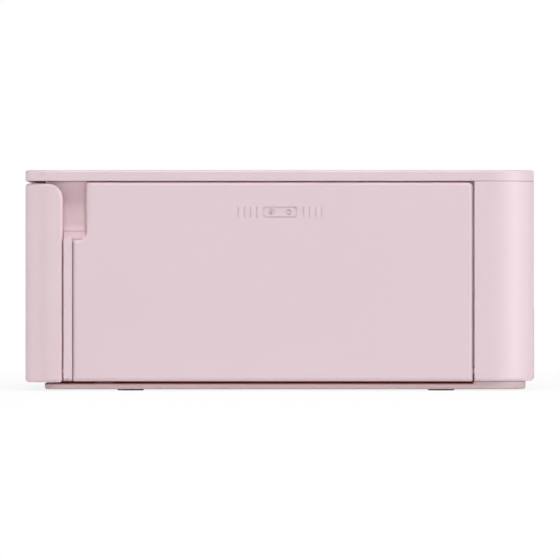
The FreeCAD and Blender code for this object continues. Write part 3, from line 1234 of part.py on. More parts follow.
def make_rear_pieces():
    flap_left, flap_far = flap_sides()
    flap = new_body("rear_paper_flap")
    outer = rear + s.flap_proud
    high = s.flap_low + s.flap_high
    edge = s.flap_wall / 4
    prism(flap, "side", [[(outer - s.flap_wall, s.flap_low), (outer, s.flap_low, edge), (outer, high, edge),
                          (outer - s.flap_wall, high)]], flap_left, flap_far)
    pin_y = rear - s.flap_hinge_inset
    reach = s.panel_gap + s.door_pin_reach
    for start, end in ((flap_left - reach, flap_left + s.overrun), (flap_far - s.overrun, flap_far + reach)):
        prism(flap, "side", [(pin_y, s.flap_hinge_high, s.hinge_pin_radius)], start, end)
    grip_middle = (flap_left + flap_far) / 2
    prism(flap, "top", [pill(grip_middle, outer, s.print_long, s.flap_wall, 0)], high - s.flap_wall,
          high + s.overrun, cut=True)
    vents = new_body("rear_vent_panel")
    low, high = s.vent_low + s.panel_gap * 2, s.vent_low + s.vent_high - s.panel_gap
    half = s.vent_wide / 2 - s.panel_gap
    prism(vents, "front", [box(-half, low, half, high, edge)], inner_rear, rear - s.vent_recess)
    lip = s.door_wall
    prism(vents, "front", [box(-half - lip, low - lip / 2, half + lip, high + lip)],
          inner_rear - s.base_thick, inner_rear)
    slot_low = s.fan_high - s.vent_slot_high / 2
    first = -half + lip
    slot = prism(vents, "front", [box(first, slot_low, first + s.vent_slot_wide, slot_low + s.vent_slot_high,
                                      s.vent_slot_wide / 2)], inner_rear - s.base_thick - s.overrun,
                 rear + s.overrun, cut=True)
    repeat_along(vents, slot, "H_Axis", s.vent_slot_step * (s.vent_slot_count - 1), s.vent_slot_count)


# The fan's struts start inside its hub, its blades too, and a blade leans by a share of its depth.
STRUT_SHARE = 0.8
BLADE_SHARE = 0.9
LEAN_SHARE = 0.7


def make_fan():
    frame = new_body("fan_frame")
    half = s.fan_size / 2
    back = inner_rear - s.base_thick - s.slip
    near = back - s.fan_deep
    centre = (s.fan_inset - right, s.fan_high)
    bore = half - s.fan_wall
    outline = box(centre[0] - half, centre[1] - half, centre[0] + half, centre[1] + half, s.plate_round)
    prism(frame, "front", [outline, (centre[0], centre[1], bore)], near, back)
    seat = s.fan_wall
    prism(frame, "front", [(centre[0], centre[1], s.fan_hub_radius)], back - seat, back)
    strut = prism(frame, "front", [box(-seat / 2, s.fan_hub_radius * STRUT_SHARE, seat / 2, bore + seat / 2)],
                  back - seat, back, across=centre[0], up=centre[1])
    repeat_round(frame, strut, 4)
    pin_near = near + seat
    prism(frame, "front", [(centre[0], centre[1], s.motor_shaft_radius)], pin_near, back - seat)
    impeller = new_body("fan_impeller")
    hub_back = back - seat - s.panel_gap
    prism(impeller, "front", [(centre[0], centre[1], s.fan_hub_radius)], near + s.panel_gap, hub_back)
    blade_near, blade_back = near + seat, hub_back - seat / 2
    lean = (blade_back - blade_near) * LEAN_SHARE
    thick = s.fan_blade_thick
    first, last = centre[0] - lean / 2, centre[0] + lean / 2
    blade = prism(impeller, "top", [[(first, blade_near), (first + thick, blade_near),
                                     (last + thick, blade_back), (last, blade_back)]],
                  centre[1] + s.fan_hub_radius * BLADE_SHARE, centre[1] + bore - s.panel_gap * 2)
    hub_sketch = new_sketch(impeller, "front", near, centre[0], centre[1])
    draw(hub_sketch, [(0, 0, s.motor_shaft_radius + s.slip)])
    repeat_round(impeller, blade, s.fan_blade_count, hub_sketch)
    bore_cut = impeller.newObject("PartDesign::Pocket", "fan_impeller_bore")
    bore_cut.Profile = hub_sketch
    bind(bore_cut, "Length", s.fan_deep)


def make_boards():
    board_top = board_level + s.board_thick
    main = new_body("main_board")
    left = -inner_side + s.board_gap * 2
    near, far = plate_front + s.roller_margin, plate_rear - s.plate_long / 8
    prism(main, "top", [box(left, near, plate_left, far)], board_level, board_top)
    low_top = s.low_board_high + s.board_thick
    side_board = new_body("socket_board")
    prism(side_board, "top", [box(*low_board_sides())], s.low_board_high, low_top)
    reader = new_body("card_reader")
    reader_left = -inner_side + s.board_gap
    reader_far, wall = card_front() + s.card_wide, s.reader_wall
    prism(reader, "top", [box(reader_left, card_front(), reader_left + s.card_wide, reader_far)],
          low_top, low_top + s.card_high)
    prism(reader, "side", [box(card_front() + wall, low_top + wall, reader_far - wall,
                               low_top + s.card_high - wall / 2)],
          reader_left - s.overrun, reader_left + s.card_wide - s.card_high, cut=True)
    usb = new_body("usb_port")
    usb_far, usb_top, wall = usb_front() + s.usb_wide, low_top + s.usb_high, s.board_gap
    prism(usb, "side", [box(usb_front() + s.slip, low_top, usb_far - s.slip, usb_top - s.slip,
                            s.usb_high / 3)], reader_left, reader_left + s.usb_long)
    prism(usb, "side", [box(usb_front() + wall, low_top + wall, usb_far - wall, usb_top - wall,
                            s.usb_high / 4)],
          reader_left - s.overrun, reader_left + s.usb_long - s.usb_high / 2, cut=True)
    jack = new_body("dc_jack")
    half = s.jack_size / 2
    jack_back = inner_rear - s.slip
    prism(jack, "top", [box(jack_x - half, jack_back - s.jack_long, jack_x + half, jack_back)],
          low_top, low_top + s.jack_size)
    prism(jack, "front", [(jack_x, low_top + half, half * JACK_BORE_SHARE)],
          jack_back - s.jack_long * JACK_BORE_SHARE, jack_back + s.overrun, cut=True)
    prism(jack, "front", [(jack_x, low_top + half, half * JACK_PIN_SHARE)],
          jack_back - s.jack_long * JACK_PIN_DEEP_SHARE, jack_back)


def low_board_sides():
    left = -inner_side + s.rim_inset + s.rim_wall
    back = rear - s.rear_boss_in - s.boss_radius - s.board_gap
    return left, card_front() - s.roller_margin, left + s.fan_size, back


def board_feet():
    x0, y0, x1, y1 = low_board_sides()
    inset = s.roller_margin
    return [(x, y) for x in (x0 + inset, x1 - inset) for y in (y0 + inset, y1 - inset)]


def make_small_pieces():
    lever = new_body("cassette_release_lever")
    near, low = lever_place()
    gap = s.panel_gap
    high, lip, inner = low + s.lever_high, s.catch_high / 2, jamb_inner - gap
    prism(lever, "side", [box(near + gap, low + gap, near + gap + s.lever_wide, high - gap, gap)],
          inner, door_inner - gap)
    prism(lever, "side", [box(near - lip, low - lip, near + s.lever_wide + lip * 2, high + lip, gap)],
          inner - s.plate_thick, inner)
    screws = new_body("case_screws")
    for x, y in SCREW_PLACES:
        prism(screws, "top", [(x, y, s.screw_head_radius)], base_low, base_low + s.screw_head_deep)
        prism(screws, "top", [(x, y, s.screw_radius - s.slip)], base_low + s.screw_head_deep,
              base_top + s.boss_radius * 2)
        long, wide = s.screw_slot_long / 2, s.screw_slot_wide / 2
        for half_x, half_y in ((long, wide), (wide, long)):
            prism(screws, "top", [box(x - half_x, y - half_y, x + half_x, y + half_y)],
                  base_low - s.overrun, base_low + s.screw_slot_deep, cut=True)


make_bottom_cover()
make_rubber_feet()
make_main_housing()
make_front_frame()
make_front_cover()
make_ink_door()
make_top_cover()
make_display_window()
make_display_panel()
make_buttons()
make_button_board()
make_chassis()
make_rollers()
make_gears()
make_cassette()
make_print_head()
make_paper_guides()
make_rear_pieces()
make_fan()
make_boards()
make_small_pieces()

doc.recompute()
bodies = [item for item in doc.Objects if item.TypeId == "PartDesign::Body"]
for item in doc.Objects:
    if "Invalid" in item.State or "Error" in item.State:
        raise SystemExit("failed: %s %s" % (item.Name, item.State))
for body in bodies:
    if body.Shape.isNull() or not body.Shape.isValid() or not body.Shape.Solids:
        raise SystemExit("no valid solid: %s" % body.Label)

os.makedirs("parts", exist_ok=True)
for body in bodies:
    body.Shape.exportStep("parts/%s.step" % body.Label)
print("%d sub-parts" % len(bodies))
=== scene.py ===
# %% [markdown]
# # A compact photo printer, dressed for its picture
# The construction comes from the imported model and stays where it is. This lesson adds the camera, the
# light, the moulded edges, the printed symbols and a worked-out finish for every piece. Lengths are in
# metres, and a small number times MM is a length in millimetres.

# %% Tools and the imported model
import math
import bpy
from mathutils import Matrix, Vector


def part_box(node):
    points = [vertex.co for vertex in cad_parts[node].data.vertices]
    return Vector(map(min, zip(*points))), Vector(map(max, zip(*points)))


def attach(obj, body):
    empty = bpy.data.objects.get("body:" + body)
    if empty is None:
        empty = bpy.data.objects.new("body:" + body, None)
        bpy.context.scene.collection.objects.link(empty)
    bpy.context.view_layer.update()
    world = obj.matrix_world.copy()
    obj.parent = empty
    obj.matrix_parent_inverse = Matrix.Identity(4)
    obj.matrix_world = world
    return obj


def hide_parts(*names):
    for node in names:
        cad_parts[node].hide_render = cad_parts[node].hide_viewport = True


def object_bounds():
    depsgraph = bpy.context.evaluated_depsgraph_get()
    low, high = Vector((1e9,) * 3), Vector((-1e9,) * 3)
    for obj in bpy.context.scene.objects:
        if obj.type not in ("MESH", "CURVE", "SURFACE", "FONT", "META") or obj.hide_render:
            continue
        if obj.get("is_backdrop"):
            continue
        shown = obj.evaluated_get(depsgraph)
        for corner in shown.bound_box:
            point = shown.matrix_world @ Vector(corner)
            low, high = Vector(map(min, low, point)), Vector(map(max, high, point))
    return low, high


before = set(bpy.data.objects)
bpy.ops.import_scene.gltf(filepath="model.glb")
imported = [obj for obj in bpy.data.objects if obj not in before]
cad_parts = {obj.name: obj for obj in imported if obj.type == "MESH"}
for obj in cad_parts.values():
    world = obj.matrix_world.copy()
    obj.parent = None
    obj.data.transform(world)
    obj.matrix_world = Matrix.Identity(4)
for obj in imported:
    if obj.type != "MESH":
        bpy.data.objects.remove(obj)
MM = 0.001
bpy.context.scene.view_settings.view_transform = "Standard"
cad_low, cad_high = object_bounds()
cad_size = [round((high - low) / MM, 1) for low, high in zip(cad_low, cad_high)]
print("the solids fill", cad_size, "mm")

# %% [markdown]
# ## The camera
# The picture looks level and square at the printer's right side, through a long lens. A long lens far
# away keeps the top and the base from showing, so the side fills the frame like a drawing. The height
# of the lens is where the horizon runs, half way up the case.

# %% The camera
FRAME_PIXELS = 560
PIXELS_TO_A_MM = 3.8345
CAMERA_AWAY = 3000 * MM
EYE_HIGH = 28.9 * MM
SENSOR = 36 * MM
CLIP_NEAR = 50 * MM
side_face = cad_high[0]
seen_wide = FRAME_PIXELS / PIXELS_TO_A_MM * MM
camera_data = bpy.data.cameras.new("camera")
camera_data.sensor_width = SENSOR / MM
camera_data.lens = SENSOR * CAMERA_AWAY / seen_wide / MM
camera_data.clip_start = CLIP_NEAR
camera = bpy.data.objects.new("camera", camera_data)
camera.location = (side_face + CAMERA_AWAY, 0, EYE_HIGH)
camera.rotation_euler = (math.radians(90), 0, math.radians(90))
bpy.context.scene.collection.objects.link(camera)
bpy.context.scene.camera = camera
print("lens", round(camera_data.lens), "mm, the frame sees", round(seen_wide / MM, 1), "mm")

# %% [markdown]
# ## Shader maths as plain expressions
# A finish is a small sum: a mask here, a little less gloss there. Wrapping a socket in a class that
# knows plus, minus and times lets that sum be written as one line, and each sign adds its Math node.
# Every other node comes from one method, so a finish reads as a list of what it is made of.


# %% Shader maths as plain expressions
class Value:
    """A shader socket that can be added, taken away, multiplied and compared."""

    def __init__(self, finish, socket):
        self.finish = finish
        self.socket = socket

    def maths(self, operation, *values):
        return self.finish.node("ShaderNodeMath", {"operation": operation}, *values)

    def __add__(self, other):
        return self.maths("ADD", self, other)

    __radd__ = __add__

    def __sub__(self, other):
        return self.maths("SUBTRACT", self, other)

    def __rsub__(self, other):
        return self.maths("SUBTRACT", other, self)

    def __mul__(self, other):
        return self.maths("MULTIPLY", self, other)

    def __truediv__(self, other):
        return self.maths("DIVIDE", self, other)

    def least(self, other):
        return self.maths("MINIMUM", self, other)

    def most(self, other):
        return self.maths("MAXIMUM", self, other)

    def size(self):
        return self.maths("ABSOLUTE", self)

    def root(self):
        return self.maths("SQRT", self)

    def under(self, limit, soft):
        """One where the value is below a limit, none above it, with a soft step between."""
        settings = {"interpolation_type": "SMOOTHSTEP"}
        return self.finish.node("ShaderNodeMapRange", settings, self, limit - soft, limit + soft, 1.0, 0.0)


def linear(red, green, blue):
    """The colour a screen shows as these three numbers from 0 to 255, in the renderer's terms."""
    def step(part):
        part /= 255
        return part / 12.92 if part <= 0.04045 else ((part + 0.055) / 1.055) ** 2.4
    return (step(red), step(green), step(blue), 1.0)


class Finish:
    """A material with its Principled shader, and one method that adds any other node."""

    def __init__(self, name, color, roughness, **constants):
        self.material = bpy.data.materials.new(name)
        self.material.use_nodes = True
        self.tree = self.material.node_tree
        self.shader = self.tree.nodes["Principled BSDF"]
        self.color = linear(*color)
        self.material.diffuse_color = self.color
        self.set("Base Color", self.color)
        self.set("Roughness", roughness)
        for socket, value in constants.items():
            self.set(socket.replace("_", " "), value)

    def set(self, socket, value):
        self.plug(self.shader.inputs[socket], value)
        return self

    def plug(self, socket, value):
        if isinstance(value, Value):
            self.tree.links.new(value.socket, socket)
        else:
            socket.default_value = value

    def node(self, kind, settings, *values, out=0, **named):
        """Adds a node: its settings first, then the values or links of its sockets."""
        new = self.tree.nodes.new(kind)
        for setting, value in settings.items():
            if setting == "stops":
                fill_ramp(new.color_ramp, value)
            else:
                setattr(new, setting, value)
        for place, value in enumerate(values):
            self.plug(new.inputs[place], value)
        for socket, value in named.items():
            self.plug(new.inputs[socket.replace("_", " ")], value)
        return Value(self, new.outputs[out])

    def place(self):
        return self.node("ShaderNodeTexCoord", {}, out="Object")

    def axes(self):
        """The place on the object along X, Y and Z, in millimetres."""
        split = self.node("ShaderNodeSeparateXYZ", {}, self.place())
        return [Value(self, split.socket.node.outputs[axis]) * (1 / MM) for axis in range(3)]

    def noise(self, grain, detail=2.0, stretch=(1, 1, 1)):
        """Cloudy noise whose lumps are about one grain across, in metres."""
        place = self.place()
        if stretch != (1, 1, 1):
            place = self.node("ShaderNodeMapping", {}, Vector=place, Scale=stretch)
        return self.node("ShaderNodeTexNoise", {}, Vector=place, Scale=1 / grain, Detail=detail)

    def tint(self, mask, color, under=None):
        """Lays a colour over the base colour where the mask is one."""
        under = self.color if under is None else under
        mixed = self.node("ShaderNodeMix", {"data_type": "RGBA"}, out="Result")
        sockets = mixed.socket.node.inputs
        result = mixed.socket.node.outputs[2]
        self.plug(sockets[0], mask)
        self.plug(sockets[6], under)
        self.plug(sockets[7], linear(*color) if isinstance(color, tuple) else color)
        return Value(self, result)

    def bump(self, height, strength, deep):
        normal = self.node("ShaderNodeBump", {}, Height=height, Strength=strength, Distance=deep)
        return self.set("Normal", normal)


def fill_ramp(ramp, stops):
    while len(ramp.elements) < len(stops):
        ramp.elements.new(0.5)
    for element, (place, color) in zip(ramp.elements, stops):
        element.position = place
        element.color = color


def dress(finish, *nodes):
    """Gives CAD nodes a finish, in every material slot."""
    for node in nodes:
        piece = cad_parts[node]
        for slot in piece.material_slots:
            slot.material = finish.material
    print(finish.material.name, "on", ", ".join(nodes))


# %% [markdown]
# ## Satin moulded plastic
# The case is moulded in a pale pink. The tool's surface is finely eroded, so the plastic has a satin
# look with no clear reflections, and its gloss is a little uneven. A grain about a sixth of a
# millimetre wide goes into the bump, and broad, very faint clouds go into the colour and the gloss.


# %% Satin moulded plastic
CLOUD_WIDE = 28 * MM
GRAIN_WIDE = 0.16 * MM
GRAIN_DEEP = 0.016 * MM
CASE_PINK = (219, 198, 205)
COVER_PINK = (219, 198, 203)
# Painted light: the front frame is paler than the case, so the shaded finger recess it forms looks lit.
FRAME_PINK_PAINTED_LIGHT = (245, 220, 227)
# Painted shade: the base is darker than the case to stand in for the shadow under the case's overhang.
BASE_PINK_PAINTED_SHADE = (199, 179, 182)
SATIN = 0.46
SATIN_BASE = 0.52


def darker(color, share):
    return tuple(part * share for part in color)


def moulded(name, color, roughness, grain_deep=GRAIN_DEEP):
    finish = Finish(name, color, roughness, IOR=1.48)
    clouds = finish.noise(CLOUD_WIDE, 3.0)
    grain = finish.noise(GRAIN_WIDE, 2.0)
    finish.clouded = finish.tint(clouds * 0.16, darker(color, 0.93))
    finish.set("Base Color", finish.clouded)
    finish.set("Roughness", roughness - 0.03 + clouds * 0.04 + grain * 0.03)
    return finish.bump(grain, 0.35, grain_deep)


case_plastic = moulded("case_plastic", CASE_PINK, SATIN)
dress(case_plastic, "main_housing", "rear_paper_flap", "rear_vent_panel", "ink_door", "top_cover")
cover_plastic = moulded("cover_plastic", COVER_PINK, SATIN)
dress(cover_plastic, "front_cover")
# The front frame's paler pink is painted light for the finger recess.
frame_plastic_painted_light = moulded("frame_plastic_painted_light", FRAME_PINK_PAINTED_LIGHT, SATIN)
dress(frame_plastic_painted_light, "front_frame")
# The base's darker pink is painted shade from the overhang above it.
base_plastic_painted_shade = moulded("base_plastic_painted_shade", BASE_PINK_PAINTED_SHADE, SATIN_BASE)
dress(base_plastic_painted_shade, "bottom_cover")

# %% [markdown]
# ## Painted shade in the gaps, painted light in the recess
# Light that bounces to and fro between two pink walls comes out warmer than the pink itself. A few
# bounces are all that a picture can pay for, so the walls of the gaps on the seen side get a warmer,
# darker colour, painted shade and painted bounce light, from a mask that knows how deep a place lies.
# The ledge of the base under the door gets darker painted shade still, and the finger recess gets the
# frame's paler colour, painted light that lifts its shade.


# %% Painted gap shade and recess light
# Painted shade: a warmer, darker pink laid on the gap walls in place of the light bounced and shaded
# between them.
PAINTED_GAP_SHADE = (226, 170, 167)
# Painted shade for the ledge of the base under the door.
PAINTED_LEDGE_SHADE = (168, 98, 92)
RECESS_WIDE = 5.9
RECESS_DEEP = 5.9
RECESS_LOW = 39.7
SKIN = 0.1
GAP_STARTS = 0.6
GAP_ENDS = 2.1
BESIDE_GAP = 0.5
SHELL_LOW = 2.2
ABOVE_DOOR = 0.3
LEDGE_HIGH = 1.66
LEDGE_DEEP = 6
LEDGE_SHORT = 1.2
CRISP = 0.05


def paint_gap_shade_and_recess_light(finish, paint_recess_light):
    """Paints warm shade on the walls of the gaps and paints light into the finger recess; lengths here are
    in millimetres.
    """
    across, along, up = finish.axes()
    deep = cad_high[0] / MM - across
    cover_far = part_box("front_cover")[1][1] / MM
    _, door_near, door_low = [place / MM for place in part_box("ink_door")[0]]
    _, door_far, door_high = [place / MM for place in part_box("ink_door")[1]]
    in_gap = (1 - deep.under(GAP_STARTS, 0.3)) * deep.under(GAP_ENDS, CRISP)
    beside_gap = (up - door_low).size().least((up - door_high).size())
    for edge in (cover_far, door_near, door_far):
        beside_gap = beside_gap.least((along - edge).size())
    behind_cover = 1 - along.under(cover_far - BESIDE_GAP, CRISP)
    inside_side = behind_cover * along.under(door_far + BESIDE_GAP, CRISP)
    level = (1 - up.under(SHELL_LOW, 0.1)) * up.under(door_high + ABOVE_DOOR, 0.1)
    # Painted shade: the mask of the gap walls on the seen side, where the warmer, darker colour goes.
    painted_gap_shade = in_gap * beside_gap.under(BESIDE_GAP, CRISP) * inside_side * level
    color = finish.tint(painted_gap_shade, PAINTED_GAP_SHADE, finish.clouded)
    # Painted light: the finger recess in the case gets the frame's paler colour to lift its shade.
    if paint_recess_light:
        above_floor = 1 - up.under(RECESS_LOW - SKIN, CRISP)
        recess = along.under(cover_far + RECESS_WIDE, CRISP) * above_floor * level
        in_recess = deep.under(RECESS_DEEP, CRISP) * (1 - deep.under(SKIN, CRISP))
        color = finish.tint(recess * inside_side * in_recess, FRAME_PINK_PAINTED_LIGHT, color)
    finish.set("Base Color", color)


def paint_ledge_shade(finish):
    """Paints shade on the top of the base's ledge under the door, where the door's shadow falls; lengths
    here are in millimetres.
    """
    across, along, up = finish.axes()
    door_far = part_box("ink_door")[1][1] / MM
    outer = 1 - across.under(cad_high[0] / MM - LEDGE_DEEP, 0.2)
    under_door = along.under(door_far - LEDGE_SHORT, 0.3) * outer
    # Painted shade: the top edge of the base's ledge under the door gets a dark colour.
    ledge = (1 - up.under(LEDGE_HIGH, CRISP)) * under_door
    finish.set("Base Color", finish.tint(ledge, PAINTED_LEDGE_SHADE, finish.clouded))


paint_gap_shade_and_recess_light(case_plastic, True)
paint_gap_shade_and_recess_light(cover_plastic, False)
paint_ledge_shade(base_plastic_painted_shade)

# %% [markdown]
# ## Small plastics and rubbers
# Inside, each plastic has its own job and look: black guides that the sheet slides on, white gears of
# a waxy low-friction plastic, a grey cassette, and rubber that is ground to size, which leaves it dull.

# %% Small plastics and rubbers
guide_black = moulded("guide_black", (44, 43, 45), 0.38)
dress(guide_black, "front_paper_guide", "rear_paper_guide", "rear_baffle", "fan_frame", "dc_jack")
fan_black = moulded("fan_black", (30, 30, 32), 0.3)
dress(fan_black, "fan_impeller")
gear_white = moulded("gear_white", (232, 230, 222), 0.36)
gear_white.set("Subsurface Weight", 0.08).set("Subsurface Radius", (MM, MM, 0.8 * MM))
dress(gear_white, "capstan_gear", "feed_gear", "reduction_gear", "motor_pinion", "take_up_spindle",
      "supply_spindle", "supply_spool", "take_up_spool", "roller_bushes")
cassette_grey = moulded("cassette_grey", (108, 104, 108), 0.44)
dress(cassette_grey, "ink_cassette_shell", "cassette_release_lever")


def ground_rubber(name, color, roughness, paler=1.5):
    finish = Finish(name, color, roughness, IOR=1.52)
    specks = finish.noise(0.25 * MM, 4.0)
    patches = finish.noise(3 * MM, 2.0)
    finish.set("Base Color", finish.tint(specks * 0.5, darker(color, paler)))
    finish.set("Roughness", roughness + patches * 0.08)
    return finish.bump(specks, 0.6, 0.03 * MM)


foot_rubber = ground_rubber("foot_rubber", (122, 104, 108), 0.7, 1.15)
dress(foot_rubber, "rubber_feet")
roller_rubber = ground_rubber("roller_rubber", (34, 33, 34), 0.62)
dress(roller_rubber, "platen_sleeve")
tyre_rubber = ground_rubber("tyre_rubber", (92, 90, 90), 0.66)
dress(tyre_rubber, "feed_tyres")

# %% [markdown]
# ## Metals
# Zinc-plated sheet shows a mottle of crystals, a few millimetres wide, each a slightly different grey.
# A ground shaft has fine rings round it instead, so its noise is drawn out thin along the shaft, and
# drawn aluminium has lines along its length.


# %% Metals
CRYSTAL_WIDE = 3.2 * MM


def zinc_sheet(name, color):
    finish = Finish(name, color, 0.34, Metallic=1.0)
    place = finish.place()
    crystals = finish.node("ShaderNodeTexVoronoi", {}, Vector=place, Scale=1 / CRYSTAL_WIDE, out="Color")
    shade = finish.node("ShaderNodeSeparateColor", {}, crystals)
    scratches = finish.noise(0.5 * MM, 3.0, (1, 0.06, 1))
    finish.set("Base Color", finish.tint(shade * 0.35, darker(color, 0.82)))
    finish.set("Roughness", 0.26 + shade * 0.1 + scratches * 0.12)
    return finish.bump(scratches, 0.2, 0.01 * MM)


def ringed_steel(name, color, roughness, stretch):
    finish = Finish(name, color, roughness, Metallic=1.0)
    rings = finish.noise(0.3 * MM, 3.0, stretch)
    finish.set("Base Color", finish.tint(rings * 0.25, darker(color, 0.85)))
    finish.set("Roughness", roughness - 0.06 + rings * 0.14)
    return finish.bump(rings, 0.25, 0.008 * MM)


plate_zinc = zinc_sheet("plate_zinc", (186, 187, 190))
dress(plate_zinc, "chassis_base_pan", "chassis_left_plate", "chassis_right_plate", "chassis_tie_bars",
      "motor_bracket", "print_head_arm", "card_reader", "usb_port", "case_screws")
ground_steel = ringed_steel("ground_steel", (202, 203, 206), 0.24, (1, 0.05, 0.05))
dress(ground_steel, "feed_shaft", "capstan_roller", "pinch_roller", "platen_shaft", "head_pivot_rod")
spring_steel = ringed_steel("spring_steel", (196, 194, 188), 0.26, (0.05, 1, 1))
dress(spring_steel, "pinch_springs", "button_domes", "drive_motor")
drawn_aluminium = ringed_steel("drawn_aluminium", (208, 209, 212), 0.32, (0.04, 1, 1))
dress(drawn_aluminium, "head_heat_sink")

# %% [markdown]
# ## Boards, the thermal line and the dye film
# A circuit board is glass cloth under a green lacquer, and its copper runs show through as slightly
# lighter bands. The head's ceramic has one dark line of heaters across it. The dye film comes in
# panels of yellow, magenta and cyan, one after the other, and it is glossy and thin.


# %% Boards, the thermal line and the dye film
LANE_APART = 2.2
HEATER_HALF = 0.5
PANELS_LONG = 42


def circuit_green():
    finish = Finish("circuit_green", (22, 74, 48), 0.34, IOR=1.5)
    across, _, _ = finish.axes()
    lanes = finish.node("ShaderNodeMath", {"operation": "FRACT"}, across / LANE_APART)
    runs = (lanes - 0.5).size().under(0.16, 0.02)
    broken = finish.noise(7 * MM, 1.0, (1, 0.35, 1)).under(0.5, 0.02)
    weave = finish.noise(0.4 * MM, 2.0)
    finish.set("Base Color", finish.tint(runs * broken, (46, 112, 74)))
    finish.set("Roughness", 0.3 + weave * 0.1)
    return finish.bump(runs * broken + weave * 0.2, 0.3, 0.03 * MM)


board_green = circuit_green()
dress(board_green, "main_board", "socket_board", "button_board")


def heated_ceramic():
    finish = Finish("heated_ceramic", (222, 214, 196), 0.2, IOR=1.6)
    low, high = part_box("thermal_head")
    _, along, _ = finish.axes()
    line = (along - (low[1] + high[1]) / 2 / MM).size().under(HEATER_HALF, CRISP)
    finish.set("Base Color", finish.tint(line, (46, 38, 34)))
    finish.set("Roughness", 0.22 - line * 0.1)
    return finish


dress(heated_ceramic(), "thermal_head")


def dye_film():
    finish = Finish("dye_film", (170, 40, 110), 0.16, IOR=1.55, Specular_IOR_Level=0.6)
    _, along, _ = finish.axes()
    wave = finish.node("ShaderNodeMath", {"operation": "FRACT"}, along / PANELS_LONG)
    yellow, magenta = linear(222, 178, 40), linear(176, 40, 106)
    cyan, clear_coat = linear(36, 96, 158), linear(214, 206, 208)
    panels = [(0.0, yellow), (0.33, magenta), (0.66, cyan), (0.97, clear_coat)]
    bands = finish.node("ShaderNodeValToRGB", {"stops": panels}, wave)
    bands.socket.node.color_ramp.interpolation = "CONSTANT"
    wrinkles = finish.noise(6 * MM, 2.0, (0.3, 1, 1))
    finish.set("Base Color", bands)
    finish.set("Roughness", 0.14 + wrinkles * 0.06)
    return finish.bump(wrinkles, 0.3, 0.05 * MM)


dress(dye_film(), "ribbon_film", "supply_film_roll")

# %% [markdown]
# ## The display and its window
# Behind the smoked window lies the display, whose lit area is a little bluer than the black border
# printed round it. The display is off, so the two differ only a little. The window itself is the
# glossiest thing on the printer.


# %% The display and its window
BLACK_BORDER = 7


def smoked_window():
    low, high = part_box("display_window")
    finish = Finish("smoked_window", (20, 20, 23), 0.05, IOR=1.5, Coat_Weight=0.6, Coat_Roughness=0.03)
    across, along, _ = finish.axes()
    middle = [(low[axis] + high[axis]) / 2 / MM for axis in (0, 1)]
    half = [(high[axis] - low[axis]) / 2 / MM - BLACK_BORDER for axis in (0, 1)]
    beyond = ((across - middle[0]).size() - half[0]).most((along - middle[1]).size() - half[1])
    lit_area = beyond.under(0, 0.08)
    smears = finish.noise(9 * MM, 3.0)
    finish.set("Base Color", finish.tint(lit_area, (38, 42, 48)))
    finish.set("Roughness", 0.04 + smears * 0.04)
    return finish


dress(smoked_window(), "display_window")
panel_black = moulded("panel_black", (26, 27, 30), 0.3)
dress(panel_black, "display_panel")

# %% [markdown]
# ## Printed symbols on the buttons
# The buttons are glossier and paler than the case, and each carries a small grey symbol that says what
# it does. A symbol is printed ink with no height, so it is a mask in the finish: each line or bar is a
# distance worked out from the place on the button, and the nearest of them gives the whole symbol.


# %% Printed symbols on the buttons
def bar(x, y, left, near, right, far):
    """How far a place lies outside an upright rectangle, in millimetres."""
    return ((x - (left + right) / 2).size() - (right - left) / 2).most(
        (y - (near + far) / 2).size() - (far - near) / 2)


def arrow(x, y, point, long):
    """How far a place lies outside a triangle that points along Y and has its tip at a point."""
    return (x.size() + y - point).most(point - long - y)


def power_sign(x, y):
    ring = (((x * x + y * y).root() - 1.7).size() - 0.2).most(0 - bar(x, y, -0.7, 0, 0.7, 3))
    return ring.least(bar(x, y, -0.2, 0.2, 0.2, 2.2))


def home_sign(x, y):
    walls = bar(x, y, -1.2, -1.6, 1.2, 0.2).most(0 - bar(x, y, -0.4, -1.8, 0.4, -0.4))
    return walls.least(arrow(x, y, 2.0, 1.8))


def back_sign(x, y):
    return arrow(y, 0 - x, 2.0, 1.6).least(bar(x, y, -0.6, -0.35, 1.8, 0.35))


def print_sign(x, y):
    body = bar(x, y, -2.6, -1.1, 2.6, 0.9)
    sheet_in = bar(x, y, -1.6, 1.3, 1.6, 2.6)
    sheet_out = bar(x, y, -1.6, -2.8, 1.6, -0.1)
    line = bar(x, y, -1.1, -1.9, 1.1, -1.5)
    return body.most(0 - bar(x, y, -2.0, -3, 2.0, 0.2)).least(sheet_in).least(sheet_out).most(0 - line)


def pad_signs(x, y):
    ways = [(x, y), (x, 0 - y), (y, x), (y, 0 - x)]
    tips = [arrow(side, forward, 10.2, 1.8) for side, forward in ways]
    nearest = tips[0]
    for tip in tips[1:]:
        nearest = nearest.least(tip)
    return nearest


def tick_sign(x, y):
    short = ((x + y + 0.9).size() - 0.35).most((x - y - 0.2).size() - 1.3)
    long = ((x - y - 0.9).size() - 0.35).most((x + y - 0.9).size() - 2.1)
    return short.least(long)


BUTTON_PALE = (232, 216, 221)
SIGN_INK = (118, 106, 110)
BUTTON_ROUGH = 0.34
BUTTON_GRAIN = 0.004 * MM
CAP_THICK = 0.6


def signed_button(node, sign):
    low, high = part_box(node)
    finish = moulded(node + "_plastic", BUTTON_PALE, BUTTON_ROUGH, BUTTON_GRAIN)
    across, along, up = finish.axes()
    x, y = [place - (low[axis] + high[axis]) / 2 / MM for axis, place in ((0, across), (1, along))]
    on_top = 1 - up.under(high[2] / MM - CAP_THICK, CRISP)
    finish.set("Base Color", finish.tint(sign(x, y).under(0, CRISP) * on_top, SIGN_INK, finish.clouded))
    dress(finish, node)


SIGNS = {
    "power_button": power_sign,
    "home_button": home_sign,
    "back_button": back_sign,
    "navigation_pad": pad_signs,
    "ok_button": tick_sign,
    "print_button": print_sign,
}
for button, button_sign in SIGNS.items():
    signed_button(button, button_sign)

